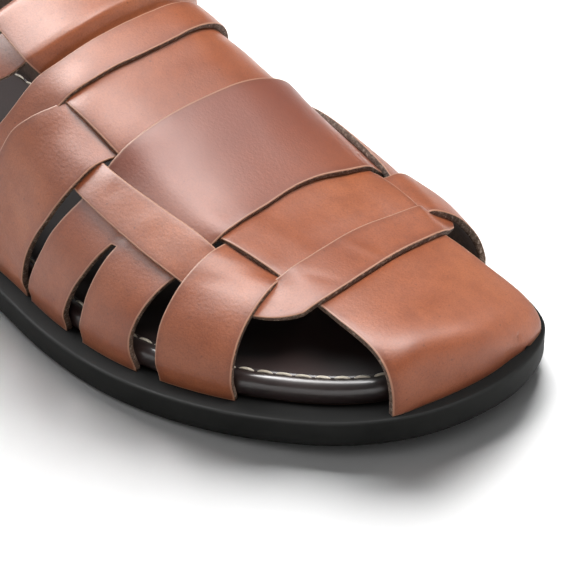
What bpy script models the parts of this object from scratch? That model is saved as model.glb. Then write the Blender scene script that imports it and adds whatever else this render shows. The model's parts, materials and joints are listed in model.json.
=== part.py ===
"""Fisherman sandal, right shoe, built on a last.

Millimetre frame while shaping: x from heel (0) to toe, y to the wearer's left (the medial side),
z up from the floor. Every piece is moved to the middle of the sole and scaled to metres at the end.
"""
import math

import bmesh
import bpy
import numpy as np
from mathutils import Matrix

MM = 0.001

# ---------------------------------------------------------------- driving sizes (mm)
SOLE_LENGTH = 298.0
SOLE_THICKNESS = 8.0
SOLE_EDGE_ROUND = 0.9
TOE_SPRING = 5.0             # lift of the sole at the toe
SPRING_START = 205.0         # the sole leaves the floor here
SPRING_RUN = 95.0
HEEL_HEIGHT = 10.0           # rise of the sole over the heel
HEEL_RISE_START = 150.0      # the waist starts to climb here
HEEL_BREAST = 74.0           # the waist has its full height behind here
HEEL_FRONT_BACK = 3.0        # front face of the heel, behind that place
HEEL_FRONT_SLOPE = 0.2       # how far it leans forward, mm per mm of height
FOOTBED_THICKNESS = 7.4
LEATHER = 2.2
STRAP_STEP = 1.35            # how far a strap climbs over another, less than its thickness to join
CLIMB = 5.5                  # length of the slope beside a crossed strap
GAP = 0.3
MEDIAL_FORWARD = 0.15        # straps run forward towards the medial side, mm per degree
ANKLE_STRAP_WIDTH = 12.0
ANKLE_STRAP_LEATHER = 1.6
LOOP_RADIUS = 2.5            # fold of the centre strip round the ankle strap
BUCKLE_WIRE = 1.1
COUNTER_LEATHER = 2.2

# Outline of the sole: distance from the middle line to each edge.
SOLE = {
    "x":       (8,     25,    55,    90,    125,   155,   185,   210,   235,   258,   278,   292),
    "lateral": (-19.5, -30.0, -35.5, -36.3, -40.5, -46.1, -53.4, -55.6, -52.3, -44.5, -32.6, -15.3),
    "medial":  (19.0,  29.5,  34.5,  33.5,  33.0,  38.0,  47.1,  53.0,  52.3,  48.3,  41.3,  31.0),
}
HEEL_TIP = (0.0, -0.5)
TOE_TIP = (SOLE_LENGTH, 10.0)
# How far the inside face of the upper and the footbed's edge lie in from the sole's edge.
LAST_INSET = {
    "x":       (0,   225, 250, 272, 284, 291, 296, 298),
    "lateral": (5.8, 5.8, 5.8, 4.6, 3.2, 5.6, 6.5, 6.6),
    "medial":  (5.8, 5.8, 4.4, 4.6, 3.8, 3.0, 4.4, 6.6),
}
FOOTBED_INSET = {
    "x":       (0,   262, 280, 291, 298),
    "lateral": (7.0, 7.0, 7.0, 8.2, 9.2),
    "medial":  (7.0, 7.0, 8.5, 9.6, 9.2),
}

# Sections of the last: ridge height over the sole, ridge place and fullness of the curve.
LAST = {
    "x":            (0,    60,   100,  130,  150,  173,  195,  215,  232,  250,  262,  276,  293),
    "height":       (82,   83,   84,   82,   76,   67.5, 54,   41.5, 32.3, 25.8, 23,   20.3, 21.5),
    "ridge_y":      (0,    1.5,  4.0,  6.0,  6.3,  6.5,  6.9,  6.2,  5.6,  5.1,  4.8,  6.2,  9.0),
    "full_up":      (2.1,  2.1,  2.5,  2.9,  2.74, 2.5,  2.25, 2.5,  2.9,  3.3,  3.46, 3.46, 3.5),
    "full_lateral": (3.2,  3.2,  2.9,  2.6,  2.42, 2.35, 2.27, 2.3,  2.4,  2.5,  2.51, 3.75, 2.4),
    "full_medial":  (3.2,  3.2,  3.0,  2.9,  2.8,  2.45, 2.05, 2.05, 2.1,  2.4,  1.9,  1.85, 2.3),
}
# The last rolls off over the toe: late and tightly on the lateral side, early and gently on the
# medial side (each pair is lateral, medial).
TOE_ROLL_START = (272.9, 241.8)
TOE_ROLL_POWER = (4.1, 1.5)
TOE_ROLL_ROUND = 2.0
HEEL_ROLL_START = 42.0       # the back of the last closes behind here
HEEL_ROLL_POWER = 3.0
HEEL_ROLL_ROUND = 2.0

# Cross straps on the lateral half: rear and front edge at each angle round the section,
# 0 degrees at the sole's lateral edge, 90 on the ridge.
VAMP_STRAP = {
    "angle":      (0,     5,     10,    16,    22,    28,    32,    40,    54,    70,    90),
    "rear":       (171.5, 172.7, 174.2, 176.9, 180,   182.8, 185,   189.1, 192.7, 195.5, 198),
    "slit_rear":  (189.5, 190,   191.5, 194,   197.2, 200.3, 202.6, 206.5, 209.7, 212,   214),
    "slit_front": (196.5, 197,   198,   199.2, 200.8, 202.6, 204.1, 208.0, 211.2, 213.5, 215.5),
    "front":      (217,   216.2, 215.8, 216.9, 218.8, 221.1, 222.9, 224.6, 226.4, 227.4, 227.4),
}
SLIT_TOP = 32.0
TOE_STRAP = {
    "angle": (30,  33,  38,    44,  54,    70,  90),
    "rear":  (237, 240, 243,   244.8, 245.8, 246.4, 247),
    "front": (253, 255.5, 257,  258.4, 259.5, 260.2, 260.6),
}
INSTEP_STRAP = {
    "angle": (0,   10,  20,    30,  38,    45,  50,    55,    61,    66,  72,  78,    90),
    "rear":  (118, 121, 126,   135, 144,   151, 156,   159.6, 163.2, 167, 169.8, 171.6, 173.5),
    "front": (136, 137.5, 141, 147, 153.5, 159.7, 164, 169.9, 174.9, 177.1, 179, 180.3, 182),
}
SIDE_STRAP = {
    "angle": (0,     8,   16,    26,  38,    45,    60),
    "rear":  (223.5, 224, 225,   226, 227,   228,   229),
    "front": (245.5, 246, 246.3, 246, 245.5, 245.5, 246),
}
QUARTER_STRAP = {
    "angle": (0,   8,   16,    21,  26,    31,    35,    39,    44,    49,  53,    57,  68),
    "rear":  (141, 142, 144,   146, 148.5, 151.5, 154.5, 157.5, 161,   165, 171,   176, 180),
    "front": (169, 170, 172.3, 174.7, 177.6, 180.8, 183, 185.1, 187.5, 189.5, 192, 194, 196),
}
# Lengthwise straps: lower and upper edge in degrees, or the two edges in mm, at each place.
LACING_STRAP = {
    "x":     (178, 188, 194,  200,  206,  212,  219, 228,  240),
    "lower": (44,  40.7, 38.8, 36.9, 35.1, 33.3, 31.3, 29,  27.5),
    "upper": (54,  50.8, 49.1, 47.7, 46.6, 45.5, 44.2, 42,  40),
}
CENTRE_STRIP = {
    "x":       (140, 153, 163,   176,   195,   215, 229,   247, 255),
    "lateral": (-20, -23, -25.5, -27.2, -27.3, -26.2, -24.3, -22.3, -21.5),
    "medial":  (21,  23.5, 27.5, 32.5,  32.5,  31,  29,    27,  25.5),
}
TOE_FAN_X = 255.0            # the toe panel fans out over the toe from here
TOE_FAN_HEIGHT = 6.0
TOE_FAN_LATERAL = -5.0       # directions of the panel's two edges, degrees
TOE_FAN_MEDIAL = 4.5
LOOP_END = 150.0             # fold at the back end of the centre strip
LOOP_END_SWEEP = 8.0         # how far the fold runs back at the strip's edges
LOOP_FLAP = 9.0              # length turned under
LOOP_RAMP = 4.0              # slope from over the ankle strap down behind the instep strap
LOOP_EDGE_ANGLE = 63.0       # where the strip's edges lie round the section of the instep
TOE_DROP = (4.0, 2.0, 0.4)   # heights of the panel's last rows over the sole

# Heel counter: top edge over the sole at each place along its side.
COUNTER = {
    "x":   (0,  20, 40, 60, 80, 96),
    "top": (58, 56, 52, 50, 54, 56),
}
COUNTER_FRONT_TOP = 88.0
COUNTER_FRONT_FOOT = 104.0
COUNTER_FOOT = 0.4           # height of its lower edge over the sole

# Ankle strap: its middle line from the end on the counter to the ridge of the instep, with its
# angle round the section and the height of its inner face over the last on either side.
ANKLE_PATH = {
    "step":          (0,    1,    2,    3,    4,    5,    6,    7,    8,    9,     10,    11,    12),
    "x":             (62,   70,   79,   88,   97,   105,  114,  124,  138,  150.5, 155,   158,   159.2),
    "lateral":       (52.5, 52.5, 52.6, 52.9, 53.4, 54.2, 55.1, 56.4, 58.6, 61.8,  68,    78,    90),
    "medial":        (58,   59.2, 60.7, 62.7, 64.8, 66.8, 68.8, 70.3, 71.3, 73.6,  77,    82,    90),
    "level_lateral": (2.8,  2.9,  3.5,  4.8,  5.2,  2.9,  1.0,  1.0,  2.2,  2.7,   2.7,   2.7,   2.7),
    "level_medial":  (2.8,  2.8,  2.8,  2.8,  2.8,  2.4,  1.8,  1.4,  2.2,  2.7,   2.7,   2.7,   2.7),
}
BUCKLE_REAR_STEP = 4.0       # the frame's rear bar, at this step of the ankle strap
BUCKLE_FRONT_STEP = 5.95
BUCKLE_REAR_LEVEL = 2.0      # height of each bar's middle over the last
BUCKLE_FRONT_LEVEL = 4.1
BUCKLE_HALF_WIDTH = 8.8
BUCKLE_CORNER = 2.2
PRONG_WIRE = 0.8
PRONG_SLOT_LENGTH = 6.6
PRONG_SLOT_WIDTH = 2.6
PRONG_SLOT_DEPTH = 8.0
PRONG_SLOT_FORWARD = 5.6     # middle of the slot, from the rear bar
PRONG_SLOT_LEVEL = 2.4
TAB_LEATHER = 1.0
TAB_HALF_WIDTH = 4.6
TAB_SLOT_HALF = 1.4
KEEPER_STEP = 1.35
KEEPER_LEATHER = 1.2
KEEPER_WIDTH = 6.0

LEATHER_TAN = (0.33, 0.115, 0.048, 1.0)
FOOTBED_BROWN = (0.035, 0.018, 0.014, 1.0)
RUBBER_BLACK = (0.012, 0.012, 0.012, 1.0)
BRASS_OLD = (0.45, 0.33, 0.16, 1.0)


# ---------------------------------------------------------------- curves through the tables
def column(table, name, at, key="x"):
    """Smooth curve through one column of a table (cubic Hermite, flat outside its ends)."""
    xs = np.array(table[key], float)
    ys = np.array(table[name], float)
    at = np.clip(np.asarray(at, float), xs[0], xs[-1])
    slope = np.diff(ys) / np.diff(xs)
    tangent = np.empty(len(xs))
    tangent[0], tangent[-1] = slope[0], slope[-1]
    same_way = slope[:-1] * slope[1:] > 0
    mean = 2 * slope[:-1] * slope[1:] / np.where(same_way, slope[:-1] + slope[1:], 1.0)
    tangent[1:-1] = np.where(same_way, mean, 0.0)
    i = np.clip(np.searchsorted(xs, at, side="right") - 1, 0, len(xs) - 2)
    width = xs[i + 1] - xs[i]
    t = (at - xs[i]) / width
    return ((2 * t**3 - 3 * t**2 + 1) * ys[i] + (t**3 - 2 * t**2 + t) * width * tangent[i]
            + (3 * t**2 - 2 * t**3) * ys[i + 1] + (t**3 - t**2) * width * tangent[i + 1])


def smooth(t):
    t = np.clip(t, 0.0, 1.0)
    return t * t * (3 - 2 * t)


def blend(t, start, end, a, b):
    weight = (t - start) / (end - start)
    return (1 - weight) * a + weight * b


def closed_curve(corners, steps=24):
    """Centripetal Catmull-Rom curve through a ring of points."""
    ring = np.array(corners, float)
    out = []
    for i in range(len(ring)):
        p = [ring[(i + k) % len(ring)] for k in (-1, 0, 1, 2)]
        gaps = [math.sqrt(np.linalg.norm(b - a)) for a, b in zip(p, p[1:])]
        knot = np.cumsum([0.0] + gaps)
        for t in np.linspace(knot[1], knot[2], steps, endpoint=False):
            a, b, c = (blend(t, knot[k], knot[k + 1], p[k], p[k + 1]) for k in range(3))
            ab, bc = blend(t, knot[0], knot[2], a, b), blend(t, knot[1], knot[3], b, c)
            out.append(blend(t, knot[1], knot[2], ab, bc))
    return np.array(out)


def outline_halves(inset, table=None):
    """Both halves of the sole's outline, each from heel to toe, moved inwards by one inset
    all round and by those of a table."""
    lateral = list(zip(SOLE["x"], SOLE["lateral"]))
    medial = list(zip(SOLE["x"], SOLE["medial"]))[::-1]
    curve = closed_curve([HEEL_TIP] + lateral + [TOE_TIP] + medial)
    n = len(curve)
    along = np.roll(curve, -1, 0) - np.roll(curve, 1, 0)
    along /= np.linalg.norm(along, axis=1)[:, None]
    if table is not None:
        heel, toe = int(np.argmin(curve[:, 0])), int(np.argmax(curve[:, 0]))
        on_lateral = (np.arange(n) - heel) % n <= (toe - heel) % n
        inset = inset + np.where(on_lateral, column(table, "lateral", curve[:, 0]),
                                 column(table, "medial", curve[:, 0]))[:, None]
    curve = curve + inset * np.stack([-along[:, 1], along[:, 0]], 1)
    heel, toe = int(np.argmin(curve[:, 0])), int(np.argmax(curve[:, 0]))
    curve = np.roll(curve, -heel, 0)
    toe = (toe - heel) % n
    return curve[:toe + 1], np.vstack([curve[toe:], curve[:1]])[::-1]


LAST_LATERAL, LAST_MEDIAL = outline_halves(0.0, LAST_INSET)
LAST_HEEL_X = LAST_LATERAL[0, 0]
LAST_TOE_X = LAST_LATERAL[-1, 0]
SOLE_LATERAL, SOLE_MEDIAL = outline_halves(0.0)
CENTRE = np.array([SOLE_LENGTH / 2, (SOLE_LATERAL[:, 1].min() + SOLE_MEDIAL[:, 1].max()) / 2, 0.0])


def sole_under(x):
    """Height of the outsole's lower face: toe spring in front, heel rise behind."""
    x = np.asarray(x, float)
    spring = TOE_SPRING * np.maximum((x - SPRING_START) / SPRING_RUN, 0) ** 2
    rise = HEEL_HEIGHT * smooth((HEEL_RISE_START - x) / (HEEL_RISE_START - HEEL_BREAST))
    return spring + rise


def feather(x):
    """Height of the sole's upper face, where the upper starts."""
    return sole_under(x) + SOLE_THICKNESS


# ---------------------------------------------------------------- the last
def edges_of_last(x):
    x = np.clip(x, LAST_HEEL_X + 0.001, LAST_TOE_X - 0.001)
    lateral = np.interp(x, LAST_LATERAL[:, 0], LAST_LATERAL[:, 1])
    medial = np.interp(x, LAST_MEDIAL[:, 0], LAST_MEDIAL[:, 1])
    return lateral, medial


def ridge(x):
    lateral, medial = edges_of_last(x)
    width = medial - lateral
    return np.clip(column(LAST, "ridge_y", x), lateral + 0.3 * width, lateral + 0.7 * width)


def roll_off(part, power, roundness):
    return np.maximum(1 - np.clip(part, 0, 1) ** power, 1e-9) ** (1 / roundness)


def roof(x, y):
    """Height that the section at x would have on its ridge, with the roll-off felt at y."""
    lateral, medial = edges_of_last(x)
    across = np.clip((y - lateral) / np.maximum(medial - lateral, 0.001), 0, 1)
    start = TOE_ROLL_START[0] + across * (TOE_ROLL_START[1] - TOE_ROLL_START[0])
    power = TOE_ROLL_POWER[0] + across * (TOE_ROLL_POWER[1] - TOE_ROLL_POWER[0])
    toe = roll_off((x - start) / (LAST_TOE_X - start), power, TOE_ROLL_ROUND)
    heel = roll_off((HEEL_ROLL_START - x) / (HEEL_ROLL_START - LAST_HEEL_X),
                    HEEL_ROLL_POWER, HEEL_ROLL_ROUND)
    return column(LAST, "height", x) * toe * heel


def fullness(points):
    """Below zero inside the last, above zero outside."""
    x, y, z = points[..., 0], points[..., 1], points[..., 2]
    inside_x = np.clip(x, LAST_HEEL_X + 0.001, LAST_TOE_X - 0.001)
    lateral, medial = edges_of_last(inside_x)
    middle = ridge(inside_x)
    half = np.maximum(np.where(y < middle, middle - lateral, medial - middle), 0.001)
    full_side = np.where(y < middle, column(LAST, "full_lateral", inside_x),
                         column(LAST, "full_medial", inside_x))
    up = np.maximum(z - feather(x), 0) / np.maximum(roof(inside_x, y), 0.001)
    return ((np.abs(y - middle) / half) ** full_side + up ** column(LAST, "full_up", inside_x) - 1
            + np.maximum(x - LAST_TOE_X, 0) + np.maximum(LAST_HEEL_X - x, 0))


def lean(points):
    """Points given by height over the sole, as points over the floor."""
    out = np.array(points, float)
    out[..., 2] += feather(out[..., 0])
    return out


def hit(origin, direction):
    """Where rays from inside the last, in heights over the sole, leave it."""
    near = np.zeros(origin.shape[:-1])
    far = np.full(origin.shape[:-1], 150.0)
    for _ in range(36):
        mid = (near + far) / 2
        inside = fullness(lean(origin + direction * mid[..., None])) < 0
        near = np.where(inside, mid, near)
        far = np.where(inside, far, mid)
    return lean(origin + direction * far[..., None])


def skin(x, angle):
    """Point of the last at x, at an angle round the section from the lateral edge."""
    x, angle = np.broadcast_arrays(np.asarray(x, float), np.radians(angle))
    origin = np.stack([x, ridge(x), np.zeros(x.shape)], -1)
    direction = np.stack([np.zeros(x.shape), -np.cos(angle), np.sin(angle)], -1)
    return hit(origin, direction)


def skin_over(x, y):
    """Point of the last straight above a place in plan."""
    x, y = np.broadcast_arrays(np.asarray(x, float), np.asarray(y, float))
    origin = np.stack([x, y, np.zeros(x.shape)], -1)
    return hit(origin, np.broadcast_to(np.array([0.0, 0.0, 1.0]), origin.shape))


def outward(points, step=0.3):
    """Unit normals of the last at points on it."""
    grad = np.stack([fullness(points + step * e) - fullness(points - step * e)
                     for e in np.eye(3)], -1)
    return grad / np.linalg.norm(grad, axis=-1, keepdims=True)


def place(points):
    """Where points on the last lie on the lateral half: x, angle and signed y."""
    x, y = points[..., 0], points[..., 1]
    angle = np.degrees(np.arctan2(points[..., 2] - feather(x), ridge(x) - y))
    medial = angle > 90
    x_folded = np.where(medial, x - MEDIAL_FORWARD * (angle - 90), x)
    return x_folded, np.where(medial, 180 - angle, angle)


# ---------------------------------------------------------------- which strap lies under which
MM_PER_DEGREE = 0.8          # length round the section, about its middle height


def inside_band(distance):
    """1 inside a strap, falling to 0 over the climb beside it."""
    return 1 - smooth(distance / CLIMB)


def covers_cross(strap, points):
    x, angle = place(points)
    rear = column(strap, "rear", angle, "angle")
    front = column(strap, "front", angle, "angle")
    low, high = strap["angle"][0], strap["angle"][-1]
    ends = np.maximum(low - angle, 0 if high == 90 else angle - high) * MM_PER_DEGREE
    return inside_band(np.maximum(rear - x, x - front)) * inside_band(ends)


def covers_lacing(points):
    x, angle = place(points)
    lower = column(LACING_STRAP, "lower", x)
    upper = column(LACING_STRAP, "upper", x)
    ends = np.maximum(LACING_STRAP["x"][0] - x, x - LACING_STRAP["x"][-1])
    beside = np.maximum(lower - angle, angle - upper) * MM_PER_DEGREE
    return inside_band(beside) * inside_band(ends)


def covers_centre(points):
    x, y = points[..., 0], points[..., 1]
    lateral = column(CENTRE_STRIP, "lateral", x)
    medial = column(CENTRE_STRIP, "medial", x)
    return inside_band(np.maximum(lateral - y, y - medial))


def lift_centre(points):
    return STRAP_STEP * np.maximum(covers_cross(SIDE_STRAP, points),
                                   covers_cross(QUARTER_STRAP, points))


def lift_over_centre(points):
    return covers_centre(points) * (STRAP_STEP + lift_centre(points))


def lift_lacing(points):
    return STRAP_STEP * covers_cross(VAMP_STRAP, points)


def lift_side(points):
    return STRAP_STEP * np.maximum(covers_lacing(points), covers_cross(TOE_STRAP, points))


def lift_quarter(points):
    return STRAP_STEP * np.maximum(covers_lacing(points), covers_cross(INSTEP_STRAP, points))


# ---------------------------------------------------------------- mesh making
def material(name, colour, roughness, metallic=0.0):
    mat = bpy.data.materials.get(name)
    if mat is None:
        mat = bpy.data.materials.new(name)
        mat.use_nodes = True
        shader = mat.node_tree.nodes["Principled BSDF"]
        shader.inputs["Base Color"].default_value = colour
        shader.inputs["Roughness"].default_value = roughness
        shader.inputs["Metallic"].default_value = metallic
    return mat


def new_object(name, verts, faces, mat, collection):
    mesh = bpy.data.meshes.new(name)
    verts = (np.asarray(verts, float) - CENTRE) * MM
    mesh.from_pydata([tuple(v) for v in verts], [], faces)
    bm = bmesh.new()
    bm.from_mesh(mesh)
    bmesh.ops.recalc_face_normals(bm, faces=bm.faces)
    bmesh.ops.triangulate(bm, faces=bm.faces)
    bm.to_mesh(mesh)
    bm.free()
    mesh.shade_smooth()
    mesh.set_sharp_from_angle(angle=math.radians(40))
    mesh.materials.append(mat)
    obj = bpy.data.objects.new(name, mesh)
    collection.objects.link(obj)
    return obj


def leather(name, middle, thickness, mat, collection, keep=None):
    """Leather cut to a grid of middle points; cells left out of keep are cut away."""
    rows, cols = middle.shape[:2]
    if keep is None:
        keep = np.ones((rows - 1, cols - 1), bool)
    cells = [(i * cols + j, i * cols + j + 1, (i + 1) * cols + j + 1, (i + 1) * cols + j)
             for i, j in zip(*np.nonzero(keep))]
    used = sorted({k for cell in cells for k in cell})
    number = {k: n for n, k in enumerate(used)}
    faces = [[number[k] for k in cell] for cell in cells]
    obj = new_object(name, middle.reshape(-1, 3)[used], faces, mat, collection)
    solid = obj.modifiers.new("leather", "SOLIDIFY")
    solid.thickness = thickness * MM
    solid.offset = 0.0
    return obj


def as_guide(obj):
    """Used only to cut or to join: left out of the model."""
    obj.hide_render = True
    obj.display_type = "WIRE"
    return obj


def add_boolean(obj, other, operation):
    step = obj.modifiers.new(other.name, "BOOLEAN")
    step.operation = operation
    step.solver = "EXACT"
    step.object = other


def raised(points, lift):
    """Middle of a leather sheet that lies on the last, lifted where it crosses others."""
    return points + outward(points) * (lift + LEATHER / 2)[..., None]


def mirrored_rows(angles):
    return np.array(list(angles) + [180 - a for a in reversed(angles[:-1])], float)


def cross_grid(strap, angles, names, between=1):
    """Grid of last points: rows round the section, columns across the strap."""
    angles = np.asarray(angles, float)
    half = np.where(angles > 90, 180 - angles, angles)
    shift = MEDIAL_FORWARD * np.maximum(angles - 90, 0)
    edges = [column(strap, name, half, "angle") + shift for name in names]
    cols = []
    for a, b in zip(edges, edges[1:]):
        cols += [a + (b - a) * k / between for k in range(between)]
    cols.append(edges[-1])
    return skin(np.stack(cols, 1), angles[:, None])


# ---------------------------------------------------------------- straps of the upper
FOOT_ANGLE = 1.0             # a strap's foot stops this far above the sole


def vamp_strap():
    half = (FOOT_ANGLE, 5, 10, 16, 22, 27, SLIT_TOP, 36, 40, 44, 48, 52, 56, 61, 67, 74, 82, 90)
    angles = mirrored_rows(half)
    between = 3
    points = cross_grid(VAMP_STRAP, angles, ("rear", "slit_rear", "slit_front", "front"), between)
    points = np.delete(points, range(between + 1, 2 * between), axis=1)   # none inside the slit
    keep = np.ones((len(angles) - 1, points.shape[1] - 1), bool)
    beside_slit = (angles[1:] <= SLIT_TOP) | (angles[:-1] >= 180 - SLIT_TOP)
    keep[beside_slit, between] = False
    return raised(points, lift_over_centre(points)), keep


def toe_strap():
    angles = mirrored_rows((30, 33, 37, 40, 44, 48, 52, 57, 63, 71, 80, 90))
    points = cross_grid(TOE_STRAP, angles, ("rear", "front"), 2)
    return raised(points, lift_over_centre(points))


def instep_strap():
    angles = mirrored_rows((FOOT_ANGLE, 7, 14, 21, 28, 34, 39, 44, 49, 54, 58, 62, 67, 73, 81, 90))
    points = cross_grid(INSTEP_STRAP, angles, ("rear", "front"), 2)
    return raised(points, lift_over_centre(points))


def side_strap(medial):
    angles = np.array((FOOT_ANGLE, 6, 12, 18, 24, 29, 33, 37, 41, 45, 49, 54, 60), float)
    angles = 180 - angles if medial else angles
    points = cross_grid(SIDE_STRAP, angles, ("rear", "front"), 3)
    return raised(points, lift_side(points))


def quarter_strap(medial):
    angles = np.array((FOOT_ANGLE, 6, 12, 18, 24, 30, 35, 39, 43, 47, 51, 55, 60, 68), float)
    angles = 180 - angles if medial else angles
    points = cross_grid(QUARTER_STRAP, angles, ("rear", "front"), 4)
    return raised(points, lift_quarter(points))


def lacing_strap(medial):
    xs = np.array((178, 182, 186, 190, 195, 201, 207, 213, 219, 224, 228, 232, 240), float)
    lower, upper = column(LACING_STRAP, "lower", xs), column(LACING_STRAP, "upper", xs)
    angle = lower[:, None] + (upper - lower)[:, None] * np.array([0, 0.5, 1])
    grid_x = np.repeat(xs[:, None], 3, axis=1)
    if medial:
        grid_x = grid_x + MEDIAL_FORWARD * (90 - angle)
        angle = 180 - angle
    points = skin(grid_x, angle)
    return raised(points, lift_lacing(points))


def centre_strip():
    """Toe panel and centre strip in one, with its back end folded round the ankle strap."""
    across = np.array((0, 0.1, 0.25, 0.42, 0.58, 0.72, 0.83, 0.92, 1.0))   # closer at the edges
    off_middle = np.abs(2 * across - 1)
    under_level = LEATHER / 2
    over_level = under_level + 2 * LOOP_RADIUS
    y_end = strip_across(LOOP_END, across)
    fold_x = LOOP_END - LOOP_END_SWEEP * off_middle**2 + LOOP_RADIUS + LEATHER / 2
    rows = []

    def lay(base, level):
        rows.append(base + outward(base) * np.reshape(level, (-1, 1)))

    # turned-under flap and fold, at the back end
    for step in (1.0, 0.5):
        lay(skin_over(fold_x + LOOP_FLAP * step, y_end), under_level)
    for turn in np.radians((0, 36, 72, 108, 144, 180)):
        lay(skin_over(fold_x - LOOP_RADIUS * math.sin(turn), y_end),
            under_level + LOOP_RADIUS * (1 - math.cos(turn)))
    # over the ankle strap, down behind the instep strap and forward to the toe fan
    from_top = (90 - LOOP_EDGE_ANGLE) * (2 * across - 1)
    behind_strap = (column(INSTEP_STRAP, "rear", 90 - np.abs(from_top), "angle")
                    + MEDIAL_FORWARD * np.maximum(from_top, 0) - 1.0)
    ramp_start = behind_strap - LOOP_RAMP
    for part in (0.35, 0.7, 1.0):
        lay(skin_over(fold_x + (ramp_start - fold_x) * part, y_end), over_level)
    for part in (0.33, 0.67, 1.0):
        x = ramp_start + LOOP_RAMP * part
        base = skin_over(x, strip_across(x, across))
        slope = over_level + (under_level - over_level) * smooth(part)
        lay(base, np.maximum(slope, under_level + lift_centre(base)))
    for part in np.linspace(0, 1, 21)[1:]:
        x = behind_strap + (TOE_FAN_X - behind_strap) * part
        base = skin_over(x, strip_across(x, across))
        lay(base, under_level + lift_centre(base))
    # toe panel: rays fan forward and down over the toe, then drop to the sole
    bearing = np.radians(TOE_FAN_LATERAL + across * (TOE_FAN_MEDIAL - TOE_FAN_LATERAL))
    forward = np.stack([np.cos(bearing), np.sin(bearing), np.zeros(len(across))], 1)
    origin = np.stack([np.full(len(across), TOE_FAN_X), strip_across(TOE_FAN_X, across),
                       np.full(len(across), TOE_FAN_HEIGHT)], 1)
    for tilt in np.radians((78, 66, 55, 45, 36, 28, 20, 12, 5)):
        lay(hit(origin, forward * math.cos(tilt) + np.array([0, 0, math.sin(tilt)])), under_level)
    for height in TOE_DROP:
        origin[:, 2] = height
        lay(hit(origin, forward), under_level)
    return np.array(rows)


def strip_across(x, across):
    """Places across the centre strip, in plan, from its lateral to its medial edge."""
    lateral, medial = column(CENTRE_STRIP, "lateral", x), column(CENTRE_STRIP, "medial", x)
    return lateral + across * (medial - lateral)


def build_upper(parts, guides):
    tan = material("strap_leather", LEATHER_TAN, 0.45)
    upper = leather("upper", centre_strip(), LEATHER, tan, parts)
    crossing = [("vamp_strap", *vamp_strap()), ("toe_strap", toe_strap()),
                ("instep_strap", instep_strap())]
    for side, medial in (("lateral", False), ("medial", True)):
        crossing += [("side_strap_" + side, side_strap(medial)),
                     ("quarter_strap_" + side, quarter_strap(medial)),
                     ("lacing_strap_" + side, lacing_strap(medial))]
    for name, middle, *keep in crossing:
        guide = as_guide(leather(name, middle, LEATHER, tan, guides, *keep))
        add_boolean(upper, guide, "UNION")


# ---------------------------------------------------------------- heel counter and ankle strap
def build_counter(parts):
    tan = material("strap_leather", LEATHER_TAN, 0.45)
    rises = np.linspace(0, 1, 8)
    front = COUNTER_FRONT_FOOT + (COUNTER_FRONT_TOP - COUNTER_FRONT_FOOT) * rises
    centre_x = HEEL_ROLL_START
    rows = []

    def wall(origin_x, turn, table_x):
        """One upright row; turn is the ray's direction in plan, in degrees from straight back."""
        top = column(COUNTER, "top", table_x)
        height = COUNTER_FOOT + rises * (top - COUNTER_FOOT)
        origin = np.stack([origin_x, ridge(origin_x), height], 1)
        way = np.array([-math.cos(math.radians(turn)), math.sin(math.radians(turn)), 0.0])
        base = hit(origin, np.broadcast_to(way, origin.shape))
        rows.append(raised(base, np.zeros(len(rises))))

    steps = np.linspace(0, 1, 7)
    for part in steps[:-1]:
        x = front + (centre_x - front) * part
        wall(x, -90.0, x)
    for turn in np.linspace(-90, 90, 19):
        table_x = centre_x * (1 - math.cos(math.radians(turn)))
        wall(np.full(len(rises), centre_x), turn, np.full(len(rises), table_x))
    for part in steps[:-1][::-1]:
        x = front + (centre_x - front) * part
        wall(x, 90.0, x)
    leather("heel_counter", np.array(rows), COUNTER_LEATHER, tan, parts)


def ankle_frame(step, side="lateral"):
    """Points on the last under the ankle strap's middle line, with their three directions."""
    step = np.atleast_1d(np.asarray(step, float))

    def base_at(s):
        angle = column(ANKLE_PATH, side, s, "step")
        return skin(column(ANKLE_PATH, "x", s, "step"), 180 - angle if side == "medial" else angle)

    base = base_at(step)
    along = base_at(np.minimum(step + 0.05, 12.0)) - base_at(np.maximum(step - 0.05, 0.0))
    out = outward(base)
    along -= out * np.sum(along * out, -1, keepdims=True)
    along /= np.linalg.norm(along, axis=-1, keepdims=True)
    return base, along, np.cross(out, along), out


def strap_rows(offsets):
    """Ankle strap as rows across its width, from its tip on the lateral side."""
    steps_up = np.concatenate([np.arange(0, 9, 0.5), np.arange(9, 12.01, 0.25)])   # closer in the loop
    rows = []
    for side, steps in (("lateral", steps_up), ("medial", steps_up[-2:1:-1])):
        base, _, across, out = ankle_frame(steps, side)
        level = column(ANKLE_PATH, "level_" + side, steps, "step") + ANKLE_STRAP_LEATHER / 2
        turned = -1.0 if side == "medial" else 1.0     # the width keeps one direction all along
        for i in range(len(steps)):
            rows.append(base[i] + out[i] * level[i]
                        + turned * across[i] * np.array(offsets)[:, None])
    return np.array(rows)


def buckle_axes():
    """Middles of the frame's rear and front bar, and the directions between and along them."""
    rear, _, _, out_rear = (v[0] for v in ankle_frame(BUCKLE_REAR_STEP))
    front, _, across, out_front = (v[0] for v in ankle_frame(BUCKLE_FRONT_STEP))
    rear = rear + out_rear * BUCKLE_REAR_LEVEL
    front = front + out_front * BUCKLE_FRONT_LEVEL
    forward = (front - rear) / np.linalg.norm(front - rear)
    across = across - forward * np.dot(across, forward)
    across /= np.linalg.norm(across)
    return rear, front, forward, across, np.cross(forward, across)


def wire(name, points, radius, mat, collection, cyclic=False):
    curve = bpy.data.curves.new(name, "CURVE")
    curve.dimensions = "3D"
    curve.bevel_depth = radius * MM
    curve.bevel_resolution = 2
    curve.use_fill_caps = not cyclic
    spline = curve.splines.new("POLY")
    spline.points.add(len(points) - 1)
    for point, at in zip(spline.points, (np.array(points) - CENTRE) * MM):
        point.co = (at[0], at[1], at[2], 1.0)
    spline.use_cyclic_u = cyclic
    curve.materials.append(mat)
    obj = bpy.data.objects.new(name, curve)
    collection.objects.link(obj)
    return obj


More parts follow.
